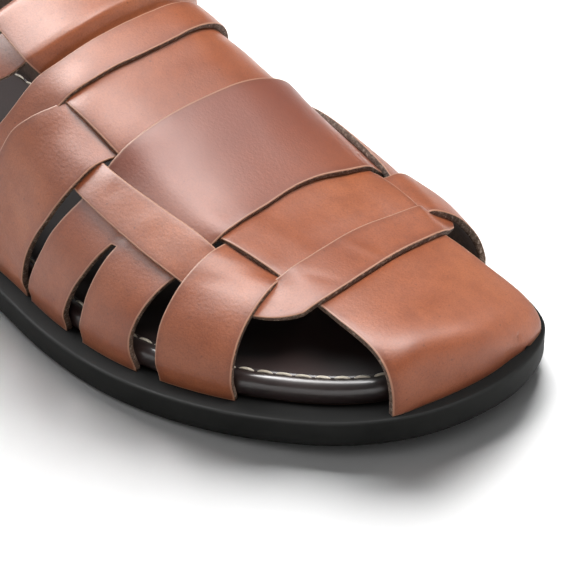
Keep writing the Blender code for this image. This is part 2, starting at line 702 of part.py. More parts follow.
def build_ankle_strap(parts, guides):
    tan = material("strap_leather", LEATHER_TAN, 0.45)
    half = ANKLE_STRAP_WIDTH / 2
    strap = leather("ankle_strap", strap_rows((-half, 0.0, half)), ANKLE_STRAP_LEATHER, tan, parts)
    # slot for the prong, just in front of the rear bar
    rear, _, forward, across, out = buckle_axes()
    mesh = bpy.data.meshes.new("prong_slot")
    bm = bmesh.new()
    bmesh.ops.create_cube(bm, size=MM)
    bm.to_mesh(mesh)
    bm.free()
    slot = bpy.data.objects.new("prong_slot", mesh)
    size = (PRONG_SLOT_LENGTH, PRONG_SLOT_WIDTH, PRONG_SLOT_DEPTH)
    place_at = (rear + forward * PRONG_SLOT_FORWARD + out * PRONG_SLOT_LEVEL - CENTRE) * MM
    turned = Matrix((forward * size[0], across * size[1], out * size[2])).transposed().to_4x4()
    slot.matrix_world = Matrix.Translation(place_at) @ turned
    guides.objects.link(as_guide(slot))
    add_boolean(strap, slot, "DIFFERENCE")


def build_buckle(parts):
    brass = material("buckle_brass", BRASS_OLD, 0.35, 1.0)
    tan = material("strap_leather", LEATHER_TAN, 0.45)
    rear, front, forward, across, out = buckle_axes()
    length = np.linalg.norm(front - rear)
    ring = []
    for side_x, side_y, start in ((1, 1, 0), (0, 1, 90), (0, -1, 180), (1, -1, 270)):
        cx = length - BUCKLE_CORNER if side_x else BUCKLE_CORNER
        cy = side_y * (BUCKLE_HALF_WIDTH - BUCKLE_CORNER)
        for turn in np.radians(start + np.array((0, 30, 60, 90))):
            ring.append(rear + forward * (cx + BUCKLE_CORNER * math.cos(turn))
                        + across * (cy + BUCKLE_CORNER * math.sin(turn)))
    wire("buckle_frame", ring, BUCKLE_WIRE, brass, parts, cyclic=True)
    # prong: from the rear bar up through the strap's slot to rest on the front bar
    rest = BUCKLE_WIRE + GAP + PRONG_WIRE
    path = ((rest, 0.0), (2.9, 0.4), (4.4, 1.6), (6.2, 2.9), (8.5, 3.3), (11.5, 2.9),
            (length - 2.0, rest + 0.5), (length, rest + 0.3), (length + 1.4, rest - 0.2))
    prong = [rear + forward * a + out * b for a, b in path]
    wire("buckle_prong", prong, PRONG_WIRE, brass, parts)
    # leather tab folded round the rear bar, with a slot for the prong
    turn_radius = BUCKLE_WIRE + GAP + TAB_LEATHER / 2
    tab = [(-9.0, 2.5), (-6.5, 2.2), (-3.5, 1.85)]
    tab += [(turn_radius * math.cos(a), turn_radius * math.sin(a))
            for a in np.radians((105, 75, 45, 15, -15, -45, -75, -105))]
    tab += [(-2.6, -turn_radius)]
    offsets = np.array((-TAB_HALF_WIDTH, -TAB_SLOT_HALF, TAB_SLOT_HALF, TAB_HALF_WIDTH))
    rows = np.array([[rear + forward * a + out * b + across * c for c in offsets] for a, b in tab])
    keep = np.ones((len(tab) - 1, 3), bool)
    keep[3:10, 1] = False
    leather("buckle_tab", rows, TAB_LEATHER, tan, parts, keep)
    # keeper: a bridge over the strap's loose end
    base, along, over, up = (v[0] for v in ankle_frame(KEEPER_STEP))
    arch = ((-8.2, 3.3), (-8.1, 4.6), (-7.3, 5.7), (-4.5, 6.1), (0, 6.2),
            (4.5, 6.1), (7.3, 5.7), (8.1, 4.6), (8.2, 3.3))
    rows = np.array([[base + over * a + up * b + along * c
                      for c in (-KEEPER_WIDTH / 2, 0.0, KEEPER_WIDTH / 2)] for a, b in arch])
    leather("strap_keeper", rows, KEEPER_LEATHER, tan, parts)


# ---------------------------------------------------------------- sole and footbed
def outline_points(x, inset, table=None):
    """Lateral and medial points of an outline at places from the heel forward."""
    lateral, medial = outline_halves(inset, table)
    return (np.column_stack([x, np.interp(x, lateral[:, 0], lateral[:, 1])]),
            np.column_stack([x, np.interp(x, medial[:, 0], medial[:, 1])]))


def sole_ring(inset, height, table=None, stations=30):
    """Closed ring at an inset and a height over the sole's lower face."""
    heel, toe = outline_halves(inset, table)[0][[0, -1], 0]
    x = heel + (toe - heel) * (1 - np.cos(np.linspace(0, math.pi, stations))) / 2
    lateral, medial = outline_points(x, inset, table)
    ring = np.vstack([lateral, medial[-2:0:-1]])
    return np.column_stack([ring, sole_under(ring[:, 0]) + height])


def heel_ring(inset, height, stations=16):
    """Closed ring round the heel, cut straight across at its front."""
    heel = outline_halves(inset)[0][0, 0]
    front = HEEL_BREAST - HEEL_FRONT_BACK + HEEL_FRONT_SLOPE * height
    x = heel + (front - heel) * (1 - np.cos(np.linspace(0, math.pi / 2, stations)))
    lateral, medial = outline_points(x, inset)
    ring = np.vstack([lateral, medial[:0:-1]])
    return np.column_stack([ring, np.full(len(ring), height)])


def strips_across(n):
    """Faces across a ring of n points, from its heel end to its front."""
    quads = [(i, i + 1, n - i - 1, (n - i) % n) for i in range(n // 2)]
    return [list(dict.fromkeys(quad)) for quad in quads]      # a quad at a tip is a triangle


def loft(rings):
    n = len(rings[0])
    faces = [face[::-1] for face in strips_across(n)]
    for k in range(len(rings) - 1):
        for i in range(n):
            j = (i + 1) % n
            faces.append([k * n + i, k * n + j, (k + 1) * n + j, (k + 1) * n + i])
    top = (len(rings) - 1) * n
    faces += [[top + i for i in face] for face in strips_across(n)]
    return np.concatenate(rings), faces


def build_sole(parts):
    rubber = material("sole_rubber", RUBBER_BLACK, 0.6)
    edge = SOLE_EDGE_ROUND
    profile = ((edge, 0.0), (0.0, edge), (0.0, SOLE_THICKNESS - edge), (edge, SOLE_THICKNESS))
    rings = [sole_ring(inset, height) for inset, height in profile]
    new_object("outsole", *loft(rings), rubber, parts)
    heel_profile = ((1.6, 0.0), (0.9, 0.8), (0.4, HEEL_HEIGHT - GAP))
    rings = [heel_ring(inset, height) for inset, height in heel_profile]
    new_object("heel", *loft(rings), rubber, parts)


def build_footbed(parts):
    brown = material("footbed_leather", FOOTBED_BROWN, 0.3)
    thick = FOOTBED_THICKNESS
    base = SOLE_THICKNESS + GAP
    profile = ((1.6, 0.0), (0.5, 0.7), (0.0, 2.2), (0.0, thick - 3.2), (0.7, thick - 1.4),
               (2.0, thick - 0.4), (4.6, thick))
    rings = [sole_ring(inset, base + height, FOOTBED_INSET) for inset, height in profile]
    new_object("footbed", *loft(rings), brown, parts)


def main():
    for obj in list(bpy.data.objects):
        bpy.data.objects.remove(obj, do_unlink=True)
    parts = bpy.data.collections.new("fisherman_sandal")
    guides = bpy.data.collections.new("strap_guides")
    for collection in (parts, guides):
        bpy.context.scene.collection.children.link(collection)
    build_sole(parts)
    build_footbed(parts)
    build_upper(parts, guides)
    build_counter(parts)
    build_ankle_strap(parts, guides)
    build_buckle(parts)


main()
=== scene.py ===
"""Fisherman sandal, right shoe: the looks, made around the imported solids.

Shapes are worked out in the shoemaker's frame, in millimetres: x from heel (0) to toe, y to the
wearer's left (the medial side), z up from the floor. to_metres() moves them into the frame.
"""

import json
import math

import bmesh
import bpy
import numpy as np
from mathutils import Matrix, Vector
from mathutils.kdtree import KDTree

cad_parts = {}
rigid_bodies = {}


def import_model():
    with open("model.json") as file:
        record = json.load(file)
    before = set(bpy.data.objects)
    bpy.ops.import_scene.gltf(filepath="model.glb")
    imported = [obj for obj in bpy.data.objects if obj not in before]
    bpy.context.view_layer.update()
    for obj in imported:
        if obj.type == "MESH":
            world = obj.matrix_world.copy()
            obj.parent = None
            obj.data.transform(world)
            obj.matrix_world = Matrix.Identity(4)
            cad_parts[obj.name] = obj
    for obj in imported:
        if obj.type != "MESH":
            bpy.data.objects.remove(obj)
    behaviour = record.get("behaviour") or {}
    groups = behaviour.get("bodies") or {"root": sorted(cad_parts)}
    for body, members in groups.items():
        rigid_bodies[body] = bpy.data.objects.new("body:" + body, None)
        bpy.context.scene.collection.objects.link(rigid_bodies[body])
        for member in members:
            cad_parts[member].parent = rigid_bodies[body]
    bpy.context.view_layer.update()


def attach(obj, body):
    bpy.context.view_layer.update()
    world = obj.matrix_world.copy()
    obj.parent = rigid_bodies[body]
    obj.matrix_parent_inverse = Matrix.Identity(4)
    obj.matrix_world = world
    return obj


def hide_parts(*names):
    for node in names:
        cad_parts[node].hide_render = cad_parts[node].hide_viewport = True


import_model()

SCENE = bpy.context.scene
MM = 0.001

# ---------------------------------------------------------------- sizes of the shoe (mm)
SOLE_LENGTH = 298.0
SOLE_THICKNESS = 8.0
TOE_SPRING = 5.0
SPRING_START = 205.0
SPRING_RUN = 95.0
HEEL_HEIGHT = 10.0
HEEL_RISE_START = 150.0
HEEL_BREAST = 74.0
HEEL_FRONT_BACK = 3.0
HEEL_FRONT_SLOPE = 0.2
FOOTBED_THICKNESS = 7.4
LEATHER = 2.2
GAP = 0.3
MEDIAL_FORWARD = 0.15        # cross straps run forward past the ridge, mm per degree
FORWARD_OF_EDGE = {"side rear": 0.19, "side front": 0.19, "toe front": 0.05,
                   "instep front": 0.0}
ANKLE_STRAP_WIDTH = 12.0
ANKLE_STRAP_LEATHER = 1.6
LOOP_RADIUS = 2.5
BUCKLE_WIRE = 1.1

SOLE = {
    "x":       (8,     25,    55,    90,    125,   155,   185,   210,   235,   258,   278,   292),
    "lateral": (-19.5, -30.0, -35.5, -36.3, -40.5, -46.1, -53.4, -55.6, -52.3, -44.5, -32.6, -15.3),
    "medial":  (19.0,  29.5,  34.5,  33.5,  33.0,  38.0,  47.1,  53.0,  52.3,  48.3,  41.3,  31.0),
}
HEEL_TIP = (0.0, -0.5)
TOE_TIP = (SOLE_LENGTH, 10.0)
# How far the inside face of the upper and the footbed's edge lie in from the sole's edge.
LAST_INSET = {
    "x":       (0,   225, 250, 272, 284, 291, 296, 298),
    "lateral": (5.8, 5.8, 5.8, 4.6, 3.2, 5.6, 6.5, 6.6),
    "medial":  (5.8, 5.8, 4.4, 4.6, 3.8, 3.0, 4.4, 6.6),
}
FOOTBED_INSET = {
    "x":       (0,   262, 280, 291, 298),
    "lateral": (7.0, 7.0, 7.0, 8.2, 9.2),
    "medial":  (7.0, 7.0, 8.5, 9.6, 9.2),
}

LAST = {
    "x":            (0,    60,   100,  130,  150,  173,  195,  215,  232,  250,  262,  276,  293),
    "height":       (82,   83,   84,   82,   76,   67.5, 54,   41.5, 32.3, 25.8, 23,   20.3, 21.5),
    "ridge_y":      (0,    1.5,  4.0,  6.0,  6.3,  6.5,  6.9,  6.2,  5.6,  5.1,  4.8,  6.2,  9.0),
    "full_up":      (2.1,  2.1,  2.5,  2.9,  2.74, 2.5,  2.25, 2.5,  2.9,  3.3,  3.46, 3.46, 3.5),
    "full_lateral": (3.2,  3.2,  2.9,  2.6,  2.42, 2.35, 2.27, 2.3,  2.4,  2.5,  2.51, 3.75, 2.4),
    "full_medial":  (3.2,  3.2,  3.0,  2.9,  2.8,  2.45, 2.05, 2.05, 2.1,  2.4,  1.9,  1.85, 2.3),
}
# The last rolls off over the toe: late and tightly on the lateral side, early and gently on the
# medial side (each pair is lateral, medial).
TOE_ROLL_START = (272.9, 241.8)
TOE_ROLL_POWER = (4.1, 1.5)
TOE_ROLL_ROUND = 2.0
HEEL_ROLL_START = 42.0
HEEL_ROLL_POWER = 3.0
HEEL_ROLL_ROUND = 2.0

# Cross straps on the lateral half: rear and front edge at each angle round the section.
VAMP_STRAP = {
    "angle":      (0,     5,     10,    16,    22,    28,    32,    40,    54,    70,    90),
    "rear":       (171.5, 172.7, 174.2, 176.9, 180,   182.8, 185,   189.1, 192.7, 195.5, 198),
    "slit_rear":  (189.5, 190,   191.5, 194,   197.2, 200.3, 202.6, 206.5, 209.7, 212,   214),
    "slit_front": (196.5, 197,   198,   199.2, 200.8, 202.6, 204.1, 208.0, 211.2, 213.5, 215.5),
    "front":      (217,   216.2, 215.8, 216.9, 218.8, 221.1, 222.9, 224.6, 226.4, 227.4, 227.4),
}
SLIT_TOP = 32.0
TOE_STRAP = {
    "angle": (27.5,  30,    33,    38,    44,    54,    70,    90),
    "rear":  (234.5, 237,   240,   243,   244.8, 245.8, 246.4, 247),
    "front": (254,   254.8, 255.6, 257,   258.4, 259.5, 260.2, 260.6),
}
TOE_STRAP_CORNER = 6.0       # rounding of the toe strap's front corners, in degrees
INSTEP_STRAP = {
    "angle": (0,   10,  20,    30,  38,    45,  50,    55,    61,    66,  72,  78,    90),
    "rear":  (118, 121, 126,   135, 144,   151, 156,   159.6, 163.2, 167, 169.8, 171.6, 173.5),
    "front": (136, 137.5, 141, 148, 156, 162.5, 167.5, 172, 174.9, 177.1, 179, 180.8, 182.8),
}
SIDE_STRAP = {
    "angle": (0,     8,     16,    26,    38,    45,    60),
    "rear":  (224.5, 224.2, 224.1, 224.9, 226.2, 227,   228),
    "front": (246.3, 245.9, 245.7, 245.3, 245,   244.9, 245.2),
}
QUARTER_STRAP = {
    "angle": (0,   8,   16,    21,  26,    31,    35,    39,    44,    49,  53,    57,  68),
    "rear":  (141, 142, 144,   146, 148.5, 151.5, 154, 156.5, 159.3, 162.3, 167, 172, 180),
    "front": (169, 170, 172.3, 174.7, 177.6, 180.8, 183, 185.1, 187.5, 189.5, 192, 194, 196),
}
LACING_STRAP = {
    "x":     (178, 188, 194,  200,  206,  212,  219, 228,  240),
    "lower": (44,  40.7, 38.8, 36.9, 35.1, 33.3, 31.3, 29,  27.5),
    "upper": (54,  50.8, 49.1, 47.7, 46.6, 45.5, 44.2, 42,  40),
}
CENTRE_STRIP = {
    "x":       (140, 153, 163,   176,   195,   215, 229,   247, 255),
    "lateral": (-20, -23, -25.5, -27.2, -27.3, -26.2, -24.3, -22.3, -21.5),
    "medial":  (21,  23.5, 27.5, 32.5,  32.5,  31,  29,    27,  25.5),
}
TOE_FAN_X = 255.0
TOE_FAN_HEIGHT = 6.0
TOE_FAN_LATERAL = -5.0
TOE_FAN_MEDIAL = 4.5
TOE_FAN_TILTS = (86, 82, 78, 74, 70, 66, 62.5, 59, 55.5, 52, 49, 46, 43, 40.5, 38, 35.5, 33.3, 31.2,
                 29, 27, 25, 23, 21, 19, 17, 15, 13, 11, 9, 7, 5, 3.3, 1.6, 0)
LOOP_END = 150.0
LOOP_END_SWEEP = 8.0
LOOP_FLAP = 9.0
LOOP_RAMP = 4.0
LOOP_EDGE_ANGLE = 63.0
PANEL_FLAT_SHARE = 0.16      # share of the toe panel's width that lies flatter, at each edge
PANEL_SETTLED_X = 276.0      # the toe panel lies on the last itself in front of here
PANEL_EASE = 12.0            # length over which it comes down to it, and over which it flattens
LOOP_CLEAR = 1.0             # between the loop's ramp and the instep strap

COUNTER = {
    "x":   (0,  20, 40, 60, 80, 96),
    "top": (58, 56, 52, 50, 54, 56),
}
COUNTER_FRONT_TOP = 88.0
COUNTER_FRONT_FOOT = 104.0
COUNTER_FOOT = 0.4
COUNTER_CORNER = 7.0         # radius of the counter's upper front corners
COUNTER_TUCK = 1.0           # how far its foot turns in, over the height below
COUNTER_TUCK_HEIGHT = 5.0

ANKLE_PATH = {
    "step":          (0,    1,    2,    3,    4,    5,    6,    7,    8,    9,     10,    11,    12),
    "x":             (62,   70,   79,   88,   97,   105,  114,  124,  138,  150.5, 155,   158,   159.2),
    "lateral":       (52.5, 52.5, 52.6, 52.9, 53.4, 54.2, 55.1, 56.4, 58.6, 61.8,  68,    78,    90),
    "medial":        (58,   59.2, 60.7, 62.7, 64.8, 66.8, 68.8, 70.3, 71.3, 73.6,  77,    82,    90),
    "level_lateral": (2.8,  2.9,  3.5,  4.8,  5.2,  2.9,  1.0,  1.0,  2.2,  2.7,   2.7,   2.7,   2.7),
    "level_medial":  (2.8,  2.8,  2.8,  2.8,  2.8,  2.4,  1.8,  1.4,  2.2,  2.7,   2.7,   2.7,   2.7),
}
BUCKLE_REAR_STEP = 4.0
BUCKLE_FRONT_STEP = 5.95
BUCKLE_REAR_LEVEL = 2.0
BUCKLE_FRONT_LEVEL = 4.1
BUCKLE_HALF_WIDTH = 8.8
BUCKLE_CORNER = 2.2
PRONG_WIRE = 0.8
TAB_LEATHER = 1.0
TAB_HALF_WIDTH = 4.6
TAB_SLOT_HALF = 1.4
KEEPER_STEP = 1.35
KEEPER_LEATHER = 1.2
KEEPER_WIDTH = 6.0
KEEPER_TOP = 6.2
KEEPER_ARCH = ((8.2, 3.3), (8.1, 4.6), (7.3, 5.7), (4.5, 6.1))   # one half, from its foot up


# ---------------------------------------------------------------- curves through the tables
def column(table, name, at, key="x"):
    """Smooth curve through one column of a table (cubic Hermite, flat outside its ends)."""
    xs = np.array(table[key], float)
    ys = np.array(table[name], float)
    at = np.clip(np.asarray(at, float), xs[0], xs[-1])
    slope = np.diff(ys) / np.diff(xs)
    tangent = np.empty(len(xs))
    tangent[0], tangent[-1] = slope[0], slope[-1]
    same_way = slope[:-1] * slope[1:] > 0
    mean = 2 * slope[:-1] * slope[1:] / np.where(same_way, slope[:-1] + slope[1:], 1.0)
    tangent[1:-1] = np.where(same_way, mean, 0.0)
    i = np.clip(np.searchsorted(xs, at, side="right") - 1, 0, len(xs) - 2)
    width = xs[i + 1] - xs[i]
    t = (at - xs[i]) / width
    return ((2 * t**3 - 3 * t**2 + 1) * ys[i] + (t**3 - 2 * t**2 + t) * width * tangent[i]
            + (3 * t**2 - 2 * t**3) * ys[i + 1] + (t**3 - t**2) * width * tangent[i + 1])


def smooth(t):
    """Eased step from 0 to 1."""
    t = np.clip(t, 0.0, 1.0)
    return t * t * (3 - 2 * t)


def through(corners, steps, closed=False):
    """Centripetal Catmull-Rom curve through points."""
    points = np.array(corners, float)
    if not closed:
        points = np.vstack([2 * points[0] - points[1], points, 2 * points[-1] - points[-2]])
    n = len(points)
    out = []
    for i in range(n if closed else n - 3):
        p = [points[(i + k) % n] for k in ((-1, 0, 1, 2) if closed else (0, 1, 2, 3))]
        knot = np.cumsum([0.0] + [math.sqrt(np.linalg.norm(b - a)) for a, b in zip(p, p[1:])])

        def blend(t, first, last, a, b):
            weight = (t - knot[first]) / (knot[last] - knot[first])
            return (1 - weight) * a + weight * b

        for t in np.linspace(knot[1], knot[2], steps, endpoint=False):
            a, b, c = (blend(t, k, k + 1, p[k], p[k + 1]) for k in range(3))
            out.append(blend(t, 1, 2, blend(t, 0, 2, a, b), blend(t, 1, 3, b, c)))
    if not closed:
        out.append(points[-2])
    return np.array(out)


def outline_halves(inset, table=None):
    """Both halves of the sole's outline, each from heel to toe, moved inwards by one inset
    all round and by those of a table."""
    lateral = list(zip(SOLE["x"], SOLE["lateral"]))
    medial = list(zip(SOLE["x"], SOLE["medial"]))[::-1]
    curve = through([HEEL_TIP] + lateral + [TOE_TIP] + medial, 24, closed=True)
    n = len(curve)
    along = np.roll(curve, -1, 0) - np.roll(curve, 1, 0)
    along /= np.linalg.norm(along, axis=1)[:, None]
    if table is not None:
        heel, toe = int(np.argmin(curve[:, 0])), int(np.argmax(curve[:, 0]))
        on_lateral = (np.arange(n) - heel) % n <= (toe - heel) % n
        inset = inset + np.where(on_lateral, column(table, "lateral", curve[:, 0]),
                                 column(table, "medial", curve[:, 0]))[:, None]
    curve = curve + inset * np.stack([-along[:, 1], along[:, 0]], 1)
    heel, toe = int(np.argmin(curve[:, 0])), int(np.argmax(curve[:, 0]))
    curve = np.roll(curve, -heel, 0)
    toe = (toe - heel) % n
    return curve[:toe + 1], np.vstack([curve[toe:], curve[:1]])[::-1]


LAST_LATERAL, LAST_MEDIAL = outline_halves(0.0, LAST_INSET)
LAST_HEEL_X = LAST_LATERAL[0, 0]
LAST_TOE_X = LAST_LATERAL[-1, 0]
SOLE_LATERAL, SOLE_MEDIAL = outline_halves(0.0)
CENTRE = np.array([SOLE_LENGTH / 2, (SOLE_LATERAL[:, 1].min() + SOLE_MEDIAL[:, 1].max()) / 2, 0.0])


def to_metres(points):
    return (np.asarray(points, float) - CENTRE) * MM


def sole_under(x):
    """Height of the outsole's lower face: toe spring in front, heel rise behind."""
    x = np.asarray(x, float)
    spring = TOE_SPRING * np.maximum((x - SPRING_START) / SPRING_RUN, 0) ** 2
    rise = HEEL_HEIGHT * smooth((HEEL_RISE_START - x) / (HEEL_RISE_START - HEEL_BREAST))
    return spring + rise


def feather(x):
    """Height of the sole's upper face, where the upper starts."""
    return sole_under(x) + SOLE_THICKNESS


# ---------------------------------------------------------------- the last
def edges_of_last(x):
    """y of the last's lateral and medial edge."""
    x = np.clip(x, LAST_HEEL_X + 0.001, LAST_TOE_X - 0.001)
    return (np.interp(x, LAST_LATERAL[:, 0], LAST_LATERAL[:, 1]),
            np.interp(x, LAST_MEDIAL[:, 0], LAST_MEDIAL[:, 1]))


def ridge(x):
    """y of the last's ridge, kept off its edges."""
    lateral, medial = edges_of_last(x)
    width = medial - lateral
    return np.clip(column(LAST, "ridge_y", x), lateral + 0.3 * width, lateral + 0.7 * width)


def roll_off(part, power, roundness):
    """Share of the height that is left at a part of the way to the end of the last."""
    return np.maximum(1 - np.clip(part, 0, 1) ** power, 1e-9) ** (1 / roundness)


def roof(x, y):
    """Height that the section at x would have on its ridge, with the roll-off felt at y."""
    lateral, medial = edges_of_last(x)
    across = np.clip((y - lateral) / np.maximum(medial - lateral, 0.001), 0, 1)
    start = TOE_ROLL_START[0] + across * (TOE_ROLL_START[1] - TOE_ROLL_START[0])
    power = TOE_ROLL_POWER[0] + across * (TOE_ROLL_POWER[1] - TOE_ROLL_POWER[0])
    toe = roll_off((x - start) / (LAST_TOE_X - start), power, TOE_ROLL_ROUND)
    heel = roll_off((HEEL_ROLL_START - x) / (HEEL_ROLL_START - LAST_HEEL_X),
                    HEEL_ROLL_POWER, HEEL_ROLL_ROUND)
    return column(LAST, "height", x) * toe * heel


def fullness(points):
    """Below zero inside the last, above zero outside."""
    x, y, z = points[..., 0], points[..., 1], points[..., 2]
    inside_x = np.clip(x, LAST_HEEL_X + 0.001, LAST_TOE_X - 0.001)
    lateral, medial = edges_of_last(inside_x)
    middle = ridge(inside_x)
    half = np.maximum(np.where(y < middle, middle - lateral, medial - middle), 0.001)
    full_side = np.where(y < middle, column(LAST, "full_lateral", inside_x),
                         column(LAST, "full_medial", inside_x))
    up = np.maximum(z - feather(x), 0) / np.maximum(roof(inside_x, y), 0.001)
    return ((np.abs(y - middle) / half) ** full_side + up ** column(LAST, "full_up", inside_x) - 1
            + np.maximum(x - LAST_TOE_X, 0) + np.maximum(LAST_HEEL_X - x, 0))


def lean(points):
    """Points given by height over the sole, as points over the floor."""
    out = np.array(points, float)
    out[..., 2] += feather(out[..., 0])
    return out


def hit(origin, direction):
    """Where rays from inside the last, in heights over the sole, leave it."""
    near = np.zeros(origin.shape[:-1])
    far = np.full(origin.shape[:-1], 150.0)
    for _ in range(32):
        mid = (near + far) / 2
        inside = fullness(lean(origin + direction * mid[..., None])) < 0
        near = np.where(inside, mid, near)
        far = np.where(inside, far, mid)
    return lean(origin + direction * far[..., None])


def skin(x, angle):
    """Point of the last at x, at an angle round the section from the lateral edge."""
    x, angle = np.broadcast_arrays(np.asarray(x, float), np.radians(angle))
    origin = np.stack([x, ridge(x), np.zeros(x.shape)], -1)
    direction = np.stack([np.zeros(x.shape), -np.cos(angle), np.sin(angle)], -1)
    return hit(origin, direction)


def skin_over(x, y):
    """Point of the last straight above a place in plan."""
    x, y = np.broadcast_arrays(np.asarray(x, float), np.asarray(y, float))
    origin = np.stack([x, y, np.zeros(x.shape)], -1)
    return hit(origin, np.broadcast_to(np.array([0.0, 0.0, 1.0]), origin.shape))


def outward(points, step=0.3):
    """Unit normals of the last at points on it."""
    grad = np.stack([fullness(points + step * e) - fullness(points - step * e)
                     for e in np.eye(3)], -1)
    return grad / np.linalg.norm(grad, axis=-1, keepdims=True)


def round_section(points):
    """Angle of points of the last round its section, from the lateral edge over to the medial."""
    x, y = points[..., 0], points[..., 1]
    return np.degrees(np.arctan2(points[..., 2] - feather(x), ridge(x) - y))


# ---------------------------------------------------------------- the plait, settled on the last
STRAP_SEPARATION = 2.34      # between the flesh sides of two straps that cross
RISE_SHARE = 0.57            # how much of that the upper one climbs; the lower one gives the rest
SETTLE_ROUNDS = 90
SOFTENING_ROUNDS = 9
PULL_DOWN = 0.985            # share of its height that a strap keeps in each round
SPREAD_NODES = 4             # how far past a strap's edge its heights are carried
MM_PER_DEGREE = 0.8          # length round the section, about its middle height
PLAIT_X = np.arange(108.0, 297.0, 1.0)
PLAIT_ANGLE = np.arange(0.0, 181.0, 1.0)
CROSSINGS = (                # upper strap, lower strap, and the strap over both that hides them
    ("vamp", "centre", None), ("toe", "centre", None), ("instep", "centre", None),
    ("centre", "side", None), ("centre", "quarter", None), ("lacing", "vamp", "centre"),
    ("side", "lacing", None), ("quarter", "lacing", None), ("side", "toe", "centre"),
    ("quarter", "instep", "centre"),
)


RIDGE_EASING = (-12, -6, 0, 6, 12)       # degrees over which an edge is averaged at the ridge
RIDGE_REACH = 30.0           # degrees to each side of the ridge where that fades out
AREA_MARGIN = 0.5            # mm or degrees past its edges that a strap counts as present
STRIP_MARGIN = 0.4
STRIP_REAR = LOOP_END - 8
STRIP_FRONT = 288.0
STRIP_LOW = 20.0             # degrees, below which the centre strip crosses nothing
AREA_TABLES = (              # strap, its table and the angles that it spans on one half
    ("vamp", VAMP_STRAP, 0, 90), ("toe", TOE_STRAP, 28, 90), ("instep", INSTEP_STRAP, 0, 90),
    ("side", SIDE_STRAP, 0, 60), ("quarter", QUARTER_STRAP, 0, 68),
)


def edge_at(strap, table, edge, angle):
    """Where an edge of a cross strap runs at angles right over the last."""
    rate = FORWARD_OF_EDGE.get(strap + " " + edge, MEDIAL_FORWARD)

    def drawn(angle):
        half = np.where(angle > 90, 180 - angle, angle)
        return column(table, edge, half, "angle") + rate * np.maximum(angle - 90, 0)

    mean = sum(drawn(angle + step) for step in RIDGE_EASING) / len(RIDGE_EASING)
    near_ridge = smooth(1 - np.abs(angle - 90) / RIDGE_REACH)
    return drawn(angle) + near_ridge * (mean - drawn(angle))


def plait_areas():
    """Which nodes of the last's (x, angle) grid each strap covers."""
    x, angle = np.meshgrid(PLAIT_X, PLAIT_ANGLE, indexing="ij")
    points = skin(x, angle)
    half = np.where(angle > 90, 180 - angle, angle)
    areas = {}
    for name, table, low, high in AREA_TABLES:
        rear, front = (edge_at(name, table, edge, angle) for edge in ("rear", "front"))
        areas[name] = ((x > rear - AREA_MARGIN) & (x < front + AREA_MARGIN)
                       & (half >= low) & (half <= high))
    # the lacing straps are tabled by x, and lie further forward on the medial side
    lacing_x = x - MEDIAL_FORWARD * np.maximum(angle - 90, 0)
    lower, upper = (column(LACING_STRAP, edge, lacing_x) for edge in ("lower", "upper"))
    areas["lacing"] = ((half > lower - AREA_MARGIN) & (half < upper + AREA_MARGIN)
                       & (lacing_x >= LACING_STRAP["x"][0]) & (lacing_x <= LACING_STRAP["x"][-1]))
    lateral, medial = strip_edges(points[..., 0])
    across = points[..., 1]
    areas["centre"] = ((across > lateral - STRIP_MARGIN) & (across < medial + STRIP_MARGIN)
                       & (x > STRIP_REAR) & (x < STRIP_FRONT) & (half > STRIP_LOW))
    return areas


def strip_edges(x):
    return column(CENTRE_STRIP, "lateral", x), column(CENTRE_STRIP, "medial", x)


def around(grid):
    """Sum of each node and its eight neighbours."""
    rows, cols = grid.shape
    padded = np.pad(grid, 1)
    return sum(padded[i:i + rows, j:j + cols] for i in range(3) for j in range(3))


def eased(height, area):
    """Each node takes the mean of its neighbours in the same strap."""
    inside = area.astype(float)
    return np.where(area, around(height * inside) / np.maximum(around(inside), 1), 0.0)


def settle(areas):
    """Heights of the straps' flesh sides over the last, once the plait has settled."""
    heights = {name: np.zeros(area.shape) for name, area in areas.items()}
    foot = smooth(np.minimum(PLAIT_ANGLE, 180 - PLAIT_ANGLE) / 12.0)[None, :]

    def part_them():
        for upper, lower, hidden_by in CROSSINGS:
            both = areas[upper] & areas[lower]
            if hidden_by:
                both = both & ~areas[hidden_by]
            short = np.where(both, STRAP_SEPARATION - heights[upper] + heights[lower], 0).clip(0)
            heights[upper] += RISE_SHARE * short
            heights[lower] -= (1 - RISE_SHARE) * short

    for _ in range(SETTLE_ROUNDS):
        for name in heights:
            for _ in range(3):
                heights[name] = eased(heights[name], areas[name])
            heights[name] *= PULL_DOWN * foot
        for _ in range(3):
            part_them()
    for name in heights:
        for _ in range(SOFTENING_ROUNDS):
            heights[name] = eased(heights[name], areas[name])
    return heights


def spread(height, area):
    """Carries a strap's heights a few nodes past its edge, so that they can be read there."""
    for _ in range(SPREAD_NODES):
        padded = np.pad(area, 1)
        wider = (padded[:-2, 1:-1] | padded[2:, 1:-1] | padded[1:-1, :-2] | padded[1:-1, 2:]) | area
        mean = around(np.where(area, height, 0)) / np.maximum(around(area.astype(float)), 1)
        height, area = np.where(area, height, mean), wider
    return height


def plait_heights():
    areas = plait_areas()
    return {name: spread(height, areas[name]) for name, height in settle(areas).items()}


PLAIT = plait_heights()


